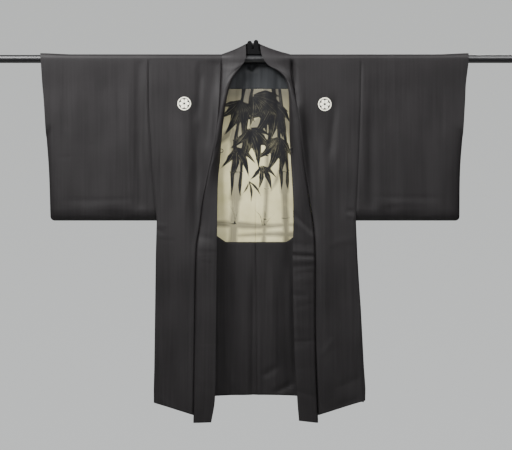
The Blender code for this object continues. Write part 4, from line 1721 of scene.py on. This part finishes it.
@dataclass(frozen=True)
class BambooDesign:
    """A plain ink design of bamboo above a low mist, for the inside of the back, in mm."""

    brush_reach: float = 4.0
    brush_shift: float = 110.0
    far: float = 50.0
    canes: tuple[Cane, ...] = (
        Cane((-62, -420), (-22, -80), 17.5, (0.24, 0.52, 0.8), -8),
        Cane((-70, -556), (-62, -420), 13.5, (0.46,), 0, True),
        Cane((86, -400), (60, -80), 13, (0.2, 0.46, 0.74), 6),
        Cane((92, -556), (86, -400), 10, (0.5,), 0, True),
        Cane((22, -556), (30, -80), 6.5, (0.16, 0.35, 0.56, 0.79), 8, True),
        Cane((-205, -560), (-180, -80), 8, (0.25, 0.5, 0.76), 6),
        Cane((200, -560), (172, -80), 10, (0.22, 0.47, 0.74), -8),
    )
    sprays: tuple[Spray, ...] = (
        Spray(-10, -106, ((-4, 85), (-26, 120), (-47, 138), (-70, 126), (-96, 100)), 12.2),
        Spray(-46, -122, ((-58, 80), (-88, 112), (-115, 118), (-141, 92), (-166, 70)), 12.2),
        Spray(52, -126, ((-52, 84), (-76, 118), (-98, 136), (-121, 128), (-147, 104)), 12.4),
        Spray(-20, -205, ((-22, 70), (-49, 104), (-77, 126), (-104, 118), (-133, 90)), 11.8),
        Spray(70, -232, ((-60, 70), (-86, 108), (-110, 120), (-136, 102), (-160, 74)), 11.8),
        Spray(-62, -262, ((-40, 80), (-66, 100), (-95, 96), (-124, 80)), 10.8),
        Spray(16, -318, ((-40, 60), (-68, 84), (-97, 78), (-128, 60)), 9.8),
        Spray(20, -160, ((-40, 100), (-70, 120), (-100, 120), (-130, 100)), 13, True),
        Spray(-70, -190, ((-60, 90), (-95, 110), (-125, 90)), 13, True),
        Spray(84, -160, ((-80, 100), (-110, 120), (-140, 90)), 13, True),
        Spray(70, -330, ((-76, 62), (-112, 70)), 9, True),
        Spray(-20, -366, ((-52, 58), (-86, 66), (-120, 50)), 6.4),
        Spray(-180, -180, ((-40, 90), (-76, 110), (-112, 90)), 8),
        Spray(172, -200, ((-60, 100), (-96, 118), (-130, 90)), 8.4),
        Spray(190, -340, ((-70, 70), (-110, 80)), 6, True),
    )
    marks: tuple[Stroke, ...] = (
        Stroke(((-290, -498), (-120, -492), (10, -503), (120, -496)), (4, 11, 3), True),
        Stroke(((-60, -530), (50, -524), (180, -531), (290, -522)), (3, 9, 4), True),
        Stroke(((-34, -128), (0, -150), (30, -178)), (0.9, 1.2, 0.8)),
        Stroke(((-44, -170), (-52, -186), (-58, -202)), (0.9, 1.2, 0.8)),
        Stroke(((-66, -492), (-58, -462), (-40, -440)), (1.2, 1, 0.3)),
        Stroke(((-62, -494), (-66, -462), (-80, -436)), (1.2, 1, 0.3)),
        Stroke(((20, -500), (14, -470), (-4, -452)), (1.4, 1, 0.3)),
        Stroke(((22, -500), (28, -466), (24, -440)), (1.4, 1.1, 0.3)),
        Stroke(((26, -500), (42, -476), (60, -462)), (1.4, 1, 0.3)),
    )

    def strokes(self) -> list[Stroke]:
        """All the strokes of the design."""
        parts = (*self.canes, *self.sprays)
        return [*self.marks, *(stroke for part in parts for stroke in part.strokes())]

    def ways(self, points: Iterable[Vector]) -> dict[str, list[float]]:
        """How points of the lining lie to the nearest ink stroke and to the nearest wash.

        Args:
            points: the points, in metres.

        Returns:
            The two lists of distances, named ink and wash, and the places across the brush, in
            metres too.
        """
        flat = np.array([(point.x, point.z) for point in points]) * 1000
        found = {name: np.full(len(flat), self.far) for name in ("ink", "wash", "brush")}
        strokes = sorted(self.strokes(), key=lambda stroke: not stroke.is_wash)
        for number, stroke in enumerate(strokes):
            kind = "wash" if stroke.is_wash else "ink"
            way, across = stroke.reach(flat)
            nearer = way < found[kind]
            found[kind] = np.where(nearer, way, found[kind])
            covered = nearer & (way < self.brush_reach)
            found["brush"] = np.where(covered, across + number * self.brush_shift, found["brush"])
        return {kind: (values / 1000).tolist() for kind, values in found.items()}


@dataclass
class InnerBack(SubAssembly):
    """What lines the back: the slate yoke, the pale inked lining and the turned-up hem."""

    drape: Drape
    design: BambooDesign = field(default_factory=BambooDesign)
    yoke_start: float = -0.0084
    reach: float = 0.915
    below: float = 0.0004
    lap: float = 0.0006
    facing_end: float = -1.0080
    step: float = 0.0034
    plain_step: float = 0.0070
    half_span: float = 0.28
    seam_shares: tuple[float, ...] = (0.0, 0.0035, 0.0075, 0.0120, 0.0180)
    plain_start: float = 0.026
    yoke_cut: tuple[float, float] = (0.590, 0.081)
    lining_cut: tuple[float, float] = (0.585, 0.462)
    facing_cut: tuple[float, float] = (0.290, 0.470)

    def build(self) -> list[Object]:
        """Make the yoke, the pale lining and the two turned-up hems.

        Returns:
            The four pieces.
        """
        drape = self.drape
        yoke = self.lay("silk_yoke", "yoke_lining", tuple(Side), self.yoke_start, drape.yoke_end,
                        self.step, YokeSilk(), "dark_silk_yoke", self.yoke_cut)
        pale = self.lay("silk_lining", "lining_back", tuple(Side), drape.yoke_end - self.below,
                        drape.lining_end, self.step, InkedSilk(), "pale_silk_lining",
                        self.lining_cut)
        hems = [self.lay("silk_facing_" + side.label, "facing_" + side.label, (side,),
                         drape.lining_end - self.below, self.facing_end, self.plain_step,
                         BlackSilk("woven_silk_facing_" + side.label),
                         "black_silk_facing_" + side.label, self.facing_cut) for side in Side]
        return [yoke, pale, *hems]

    def row(self, sides: tuple[Side, ...], level: float, step: float) -> list[Vector]:
        """A row of points of the back's outer face, under which a lining lies.

        Args:
            sides: the sides that it spans.
            level: its height in the back's rows.
            step: the distance between its points.

        Returns:
            The points.
        """
        points: list[Vector] = []
        for side in sides:
            plain = spread(self.plain_start, self.reach, round(self.half_span / step))
            shares = [*self.seam_shares, *plain]
            half = [self.drape.body_point(side, Zone.BACK, level, share) for share in shares]
            if len(sides) == 1:
                half[0].x = self.lap + side.value * self.drape.seam
            points += half[::-1] if side is Side.LEFT else half[1 if points else 0:]
        return points

    def lay(self, name: str, node: str, sides: tuple[Side, ...], top: float, end: float,
            step: float, finish: Finish, slot: str, cut: tuple[float, float]) -> Object:
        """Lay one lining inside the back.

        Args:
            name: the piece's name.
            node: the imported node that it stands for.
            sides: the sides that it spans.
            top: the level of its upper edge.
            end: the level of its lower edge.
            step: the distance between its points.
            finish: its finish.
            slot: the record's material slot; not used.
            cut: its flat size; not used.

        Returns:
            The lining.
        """
        drape = self.drape
        levels = spread(top, end, round((top - end) / step))
        rows = [self.row(sides, level, step) for level in levels]
        weave = [[(point.x, -point.z) for point in row] for row in rows]
        ways = None
        if isinstance(finish, InkedSilk):
            ways = self.design.ways(point for row in rows for point in row)
        lining = lay_cloth(name, rows, weave, drape.lining, Vector((0, 1, 0)), finish,
                           inset=drape.cloth + drape.gap, ways=ways)
        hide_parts(node)
        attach(lining, BODY)
        return lining


@dataclass
class CollarBand(SubAssembly):
    """The long collar, doubled round the neck and opening to its full width down the front."""

    drape: Drape
    length: float = 1.2275
    turned: float = 0.129
    neck_lift: float = 0.0005
    end_out: float = 0.0005
    seam_share: float = 0.8
    least_width: float = 0.2
    groove_share: float = 0.038
    across_step: float = 0.004
    down_step: float = 0.001
    step: float = 0.0056
    behind: float = 1.1
    turn_reach: float = 0.05
    seam_fade: float = 0.10
    uneven: float = 0.0008
    waves: tuple[float, float] = (1.6, 7.0)
    cut: tuple[float, float] = (0.062, 2.460)
    cut_area: float = 0.136

    def build(self) -> list[Object]:
        """Make the band in one piece, from the left hem round the neck to the right hem.

        Returns:
            The collar alone.
        """
        halves = {side: self.stations(side) for side in Side}
        left = [self.section(Side.LEFT, *station) for station in halves[Side.LEFT]]
        right = [self.section(Side.RIGHT, *station) for station in halves[Side.RIGHT]]
        ways = [-along for along, _, _ in halves[Side.LEFT]][::-1]
        ways += [along for along, _, _ in halves[Side.RIGHT]][1:]
        rows = left[::-1] + right[1:]
        weave = [[(self.cut[0] * share, way) for share in self.shares()] for way in ways]
        collar = lay_cloth("silk_collar", rows, weave, self.drape.band, Vector((0, -1, 0)),
                           BlackSilk("woven_silk_collar"), centred=True)
        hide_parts("collar")
        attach(collar, BODY)
        return [collar]

    @staticmethod
    def shares() -> list[float]:
        """The shares across the band, closer at its seam and at its free edge."""
        return [0.0, 0.02, 0.045, 0.075] + spread(0.11, 0.9, 10) + [0.95, 0.98, 1.0]

    def path(self, side: Side) -> list[tuple[Vector, Vector]]:
        """The seam from centre back to hem.

        Args:
            side: the seam's side.

        Returns:
            Its points, each with the way inwards across the seam.
        """
        drape = self.drape
        rows = [row for row in drape.body_stations(self.step) if row[0] is not Zone.BACK]
        edge = [drape.inner_edge(side, zone, key) for zone, key in rows]
        points = []
        for x, down in reversed(edge):
            at_edge = drape.hang(side, side.value * x, down)
            beside = drape.hang(side, side.value * (x + self.across_step), down)
            ahead = drape.hang(side, side.value * x, down + self.down_step)
            inward = (at_edge - beside).normalized()
            normal = (ahead - at_edge).cross(inward).normalized()
            if normal.dot(Vector((0, at_edge.y, max(at_edge.z, 0.0)))) < 0:
                normal = -normal
            lift = self.neck_lift if down < drape.quarter * self.behind else 0.0
            points.append((at_edge - normal * (drape.cloth / 2 - lift), inward))
        last, inward = points[-1]
        below = last + Vector((side.value * self.end_out, -self.end_out, drape.collar_hem - last.z))
        points += [(last.lerp(below, share), inward) for share in (0.25, 0.5, 0.75, 1.0)]
        points[0] = (Vector((0.0, points[0][0].y, points[0][0].z)), Vector((0, 0, 1)))
        return points

    def stations(self, side: Side) -> list[tuple[float, Vector, Vector]]:
        """Stations down the seam.

        Args:
            side: the seam's side.

        Returns:
            For each, the way along, the seam's point and the way inwards.
        """
        path = self.path(side)
        ways = [0.0]
        for (start, _), (end, _) in zip(path, path[1:]):
            ways.append(ways[-1] + (end - start).length)
        scale = self.length / ways[-1]
        return [(way * scale, point, inward) for way, (point, inward) in zip(ways, path)]

    def section(self, side: Side, along: float, seam: Vector, inward: Vector) -> list[Vector]:
        """The points across the band at a station, from its seam to its free edge.

        Args:
            side: the station's side.
            along: the way down the seam.
            seam: the seam's point.
            inward: the way inwards across the seam.

        Returns:
            The points.
        """
        edge = Vector([curve.at(along) for curve in FREE_EDGE[side]])
        bulge = BULGE[side].at(along)
        width = (edge - seam).normalized()
        outward = Vector((0, 0, 1)).cross(width) * side.value
        if outward.length < self.least_width:
            outward = Vector((0, 1, 0))
        outward.normalize()
        if along > self.turned and outward.y > 0:
            outward = -outward
        leaving = ((edge - seam) + outward * bulge * 4).normalized()
        turned = inward.normalized().cross(leaving).length
        past_turn = smooth((along - self.turned) / self.turn_reach)
        standing = turned * (1 - past_turn)
        start = seam + leaving * (self.drape.seam + self.drape.cloth * self.seam_share * standing)
        creases = LEFT_BAND_CREASES if side is Side.LEFT else RIGHT_BAND_CREASES
        points = []
        for share in self.shares():
            rise = sum(crease.lift(along, share) for crease in creases)
            rise += self.uneven * noise.noise(Vector(
                (share * self.waves[0], along * self.waves[1], COLLAR_SEED + side.value)))
            rise *= smooth(share / self.seam_fade)
            rise -= self.drape.groove(side, seam.z) * math.exp(-(share / self.groove_share) ** 2)
            out = bulge * 4 * share * (1 - share) + rise * past_turn
            points.append(start.lerp(edge, share) + outward * out)
        return points


COLLAR_TABLES = {Side.LEFT: COLLAR_LEFT, Side.RIGHT: COLLAR_RIGHT}
FREE_EDGE = {side: tuple(Curve(rows, column) for column in "xyz")
             for side, rows in COLLAR_TABLES.items()}
BULGE = {side: Curve(rows, "bulge") for side, rows in COLLAR_TABLES.items()}


@dataclass
class TieLoops(SubAssembly):
    """The small cord loops on the collar's free edge, which take the tie cords."""

    collar: CollarBand
    height: float = -0.264
    reach: float = 0.0085
    half: float = 0.0055
    ply_radius: float = 0.00068
    ply_offset: float = 0.00058
    turns: float = 7.0
    points: int = 56
    roundness: float = 0.7
    root: int = -6
    beside: int = -4

    def build(self) -> list[Object]:
        """Make both loops."""
        return [self.make(side) for side in Side]

    def path(self, side: Side) -> list[Vector]:
        """The loop's middle line, out of the band and back into it.

        Args:
            side: the loop's side.

        Returns:
            Its points.
        """
        sections = [self.collar.section(side, *station) for station in self.collar.stations(side)]
        section = min(sections, key=lambda points: abs(points[self.beside].z - self.height))
        root, width = section[self.root], (section[-1] - section[self.root]).normalized()
        down = Vector((0, 0, -1))
        outward = width.cross(down).normalized() * -side.value
        if outward.y > 0:
            outward = -outward
        near = self.collar.drape.band / 2
        line = []
        for angle in spread(0.0, math.pi, self.points - 1):
            out = near + self.reach * math.sin(angle) ** self.roundness
            line.append(root + outward * out + down * self.half * (1 - math.cos(angle)))
        return line

    def make(self, side: Side) -> Object:
        """Make one loop of two plies twisted together.

        Args:
            side: its side.

        Returns:
            The loop.
        """
        line = self.path(side)
        curve = bpy.data.curves.new("cord_loop_" + side.label, "CURVE")
        curve.dimensions = "3D"
        curve.bevel_depth = self.ply_radius
        curve.bevel_resolution = 2
        curve.use_fill_caps = True
        for ply in (0.0, math.pi):
            spline = curve.splines.new("POLY")
            spline.points.add(len(line) - 1)
            for i, (point, place) in enumerate(zip(spline.points, line)):
                ahead = (line[min(i + 1, len(line) - 1)] - line[max(i - 1, 0)]).normalized()
                aside = ahead.cross(Vector((1.0, 0.2, 0.1))).normalized()
                turn = ply + self.turns * 2 * math.pi * i / len(line)
                offset = aside * math.cos(turn) + ahead.cross(aside) * math.sin(turn)
                point.co = (*(place + offset * self.ply_offset), 1.0)
        loop = bpy.data.objects.new("cord_loop_" + side.label, curve)
        bpy.context.scene.collection.objects.link(loop)
        curve.materials.append(Thread("twisted_silk_cord", "#2B2A2B").material())
        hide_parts("loop_" + side.label)
        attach(loop, BODY)
        return loop


@dataclass
class HandStitches(SubAssembly):
    """The hand stitches that show: along the lining, the yoke, the cuffs and the hems."""

    drape: Drape
    sleeves: Sleeves
    length: float = 0.0020
    thickness: float = 0.0006
    spacing: float = 0.0085
    from_fold: float = 0.0016
    lining_half: float = 0.262
    yoke_half: float = 0.270
    back_steps: int = 160
    edge_steps: int = 60
    cuff_in: float = 0.004
    cuff_top: float = -0.024
    cuff_stop: float = 0.045
    hem_shares: tuple[float, float] = (0.08, 0.94)
    hem_reach: tuple[float, float] = (0.188, 0.304)
    hem_up: float = 0.0045

    def build(self) -> list[Object]:
        """Sew each run of stitches.

        Returns:
            The runs.
        """
        drape = self.drape
        cream = Thread("cream_sewing_silk", "#C9C2A6")
        black = Thread("black_sewing_silk", "#242324")
        lining_run = self.back_run(drape.lining_end, self.lining_half)
        yoke_run = self.back_run(drape.yoke_end, self.yoke_half)
        runs = [self.sew("stitches_lining", lining_run, cream),
                self.sew("stitches_yoke", yoke_run, black)]
        for side in Side:
            runs.append(self.sew("stitches_cuff_" + side.label, self.cuff_run(side), black))
            runs.append(self.sew("stitches_hem_" + side.label, self.hem_run(side), black))
        return runs

    def back_run(self, end: float, half: float) -> list[Vector]:
        """The lower edge of the yoke or of the pale lining, on its inner face.

        Args:
            end: the level of the edge.
            half: how far the run reaches to each side.

        Returns:
            The run's points.
        """
        drape = self.drape
        depth = drape.cloth + drape.gap + drape.lining
        run = []
        for x in spread(-half, half, self.back_steps):
            z = drape.back_height(end + self.from_fold, x)
            run.append(Vector((x, drape.back_depth(x, z) - depth, z)))
        return run

    def cuff_run(self, side: Side) -> list[Vector]:
        """The folded edge of a cuff's mouth, on the front.

        Args:
            side: the sleeve's side.

        Returns:
            The run's points.
        """
        run = []
        for z in spread(self.cuff_top, self.sleeves.mouth_end + self.cuff_stop, self.edge_steps):
            x = side.value * (self.drape.cuff_edge[side].at(z) - self.cuff_in)
            depth = self.sleeves.half_depth(x, z, self.drape.armpit, 1.0, self.cuff_in, False)
            run.append(Vector((x, -depth, z)))
        return run

    def hem_run(self, side: Side) -> list[Vector]:
        """The folded front hem.

        Args:
            side: the hem's side.

        Returns:
            The run's points.
        """
        run = []
        inner, outer = self.hem_reach
        for share in spread(*self.hem_shares, self.edge_steps):
            x = inner + (outer - inner) * share
            z = self.drape.front_hem(x) + self.hem_up
            run.append(Vector((side.value * x, self.drape.front_depth(side, side.value * x, z), z)))
        return run

    def sew(self, name: str, run: Sequence[Vector], thread: Thread) -> Object:
        """Set small half-sunk stitches along a run.

        Args:
            name: the piece's name.
            run: points along the cloth's face.
            thread: the thread's finish.

        Returns:
            The stitches.
        """
        bm = bmesh.new()
        since = self.spacing
        for start, end in zip(run, run[1:]):
            since += (end - start).length
            if since < self.spacing:
                continue
            since = 0.0
            ahead = (end - start).normalized()
            grown = bmesh.ops.create_icosphere(bm, subdivisions=1, radius=1.0)["verts"]
            size = Matrix.Diagonal((self.length / 2, self.thickness / 2, self.thickness / 2, 1.0))
            turn = Vector((1, 0, 0)).rotation_difference(ahead).to_matrix().to_4x4()
            bmesh.ops.transform(bm, verts=grown, matrix=Matrix.Translation(start) @ turn @ size)
        stitches = place_mesh(name, bm, thread)
        stitches.data.shade_smooth()
        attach(stitches, BODY)
        return stitches


@dataclass
class Hanger(SubAssembly):
    """The rod and the neck support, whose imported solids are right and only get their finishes."""

    def build(self) -> list[Object]:
        """Finish the rod and the support.

        Returns:
            The two solids.
        """
        dressed = []
        for node, finish in (("rod", SatinPaint()), ("neck_support", MouldedRubber())):
            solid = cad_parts[node]
            for slot in solid.material_slots:
                slot.material = finish.material()
            dressed.append(solid)
        return dressed


class SoftBox(NamedTuple):
    """A soft box: where it hangs, the point it faces, its size, its power and its cone.

    The size is its width and height, the power is in watts and the cone is in degrees.
    """

    name: str
    place: tuple[float, float, float]
    aim: tuple[float, float, float]
    size: tuple[float, float]
    watts: float
    cone: float


SOFT_BOXES = (
    SoftBox("Left", (-1.34, -1.20, 1.30), (-0.55, 0.0, 0.37), (1.1, 0.9), 59.0, 103.0),
    SoftBox("Right", (1.34, -1.14, 1.44), (0.64, 0.0, 0.48), (1.1, 0.9), 26.5, 95.0),
    SoftBox("Front", (0.0, -3.2, 0.5), (0.0, 0.0, -0.85), (1.2, 0.8), 3.5, 50.0),
    SoftBox("Floor", (-0.9, -2.3, 0.6), (-0.9, -2.3, -1.56), (1.6, 1.0), 12.0, 100.0),
    SoftBox("Back", (0.9, 2.6, 0.8), (0.0, 0.0, -0.20), (2.2, 1.2), 75.0, 140.0),
)


@dataclass
class Studio:
    """A pale floor, soft lamps and the camera at the photograph's angle."""

    floor_height: float = -1.56
    floor_size: float = 4.4
    camera_distance: float = 4.80
    frame_width: float = 1.536
    frame_middle: float = -0.498
    sensor: float = 36.0
    backdrop_strength: float = 1.32
    air_strength: float = 0.05
    air_band: float = 0.14
    air_below: str = "#C3C5C5"
    air_above: str = "#B9BBBA"
    air_light: str = "#C8CACC"

    def build(self) -> None:
        """Set up floor, air, lamps and camera."""
        self.lay_floor()
        self.light_air()
        for box in SOFT_BOXES:
            self.hang_lamp(box)
        self.set_camera()

    def lay_floor(self) -> None:
        """Lay the pale board below the hem."""
        bm = bmesh.new()
        bmesh.ops.create_grid(bm, x_segments=2, y_segments=2, size=self.floor_size / 2)
        bmesh.ops.translate(bm, verts=bm.verts, vec=(0.0, 0.0, self.floor_height))
        floor = place_mesh("floor", bm, PaintedBoard())

    def light_air(self) -> None:
        """Fill the air with even grey light, a little paler below."""
        world = bpy.data.worlds.new("studio_air")
        world.use_nodes = True
        bpy.context.scene.world = world
        tree = world.node_tree
        place = add_node(tree, "TexCoord")
        split = add_node(tree, "SeparateXYZ", {}, {0: place.outputs["Generated"]})
        level = add_node(tree, "MapRange",
                         {"From Min": -self.air_band, "From Max": self.air_band},
                         {"Value": split.outputs[2]})
        tone = add_node(tree, "ValToRGB", {}, {0: level})
        tone.color_ramp.elements[0].color = linear(self.air_below)
        tone.color_ramp.elements[1].color = linear(self.air_above)
        seen = fill(tree, tree.nodes["Background"], {"Strength": self.backdrop_strength},
                    {"Color": tone})
        lit = add_node(tree, "Background",
                       {"Color": linear(self.air_light), "Strength": self.air_strength})
        rays = add_node(tree, "LightPath")
        both = add_node(tree, "MixShader", {}, {0: rays.outputs["Is Camera Ray"], 1: lit, 2: seen})
        fill(tree, tree.nodes["World Output"], {}, {"Surface": both})

    @staticmethod
    def hang_lamp(box: SoftBox) -> None:
        """Hang a soft box.

        Args:
            box: where and how it hangs.
        """
        lamp = bpy.data.lights.new(box.name, "AREA")
        lamp.spread = math.radians(box.cone)
        lamp.shape = "RECTANGLE"
        lamp.size, lamp.size_y = box.size
        lamp.energy = box.watts
        hung = bpy.data.objects.new(box.name, lamp)
        bpy.context.scene.collection.objects.link(hung)
        hung.location = box.place
        ahead = Vector(box.aim) - Vector(box.place)
        hung.rotation_euler = ahead.to_track_quat("-Z", "Y").to_euler()
        hung.visible_camera = False

    def set_camera(self) -> None:
        """Stand the camera level before the garment's middle, with a long lens."""
        lens = bpy.data.cameras.new("Camera")
        lens.sensor_width = self.sensor
        lens.lens = self.sensor * self.camera_distance / self.frame_width
        camera = bpy.data.objects.new("Camera", lens)
        bpy.context.scene.collection.objects.link(camera)
        camera.location = (0.0, -self.camera_distance, self.frame_middle)
        camera.rotation_euler = (math.pi / 2, 0.0, 0.0)
        bpy.context.scene.camera = camera


def main() -> None:
    """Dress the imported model."""
    drape = Drape()
    sleeves = Sleeves(drape)
    collar = CollarBand(drape)
    groups: list[SubAssembly] = [
        BodyPanels(drape), sleeves, Gussets(drape), InnerBack(drape), collar, TieLoops(collar),
        HandStitches(drape, sleeves), Hanger()]
    for group in groups:
        for piece in group.build():
            LOG.info("%s: %s", type(group).__name__, piece.name)
    Studio().build()


if __name__ == "__main__":
    main()
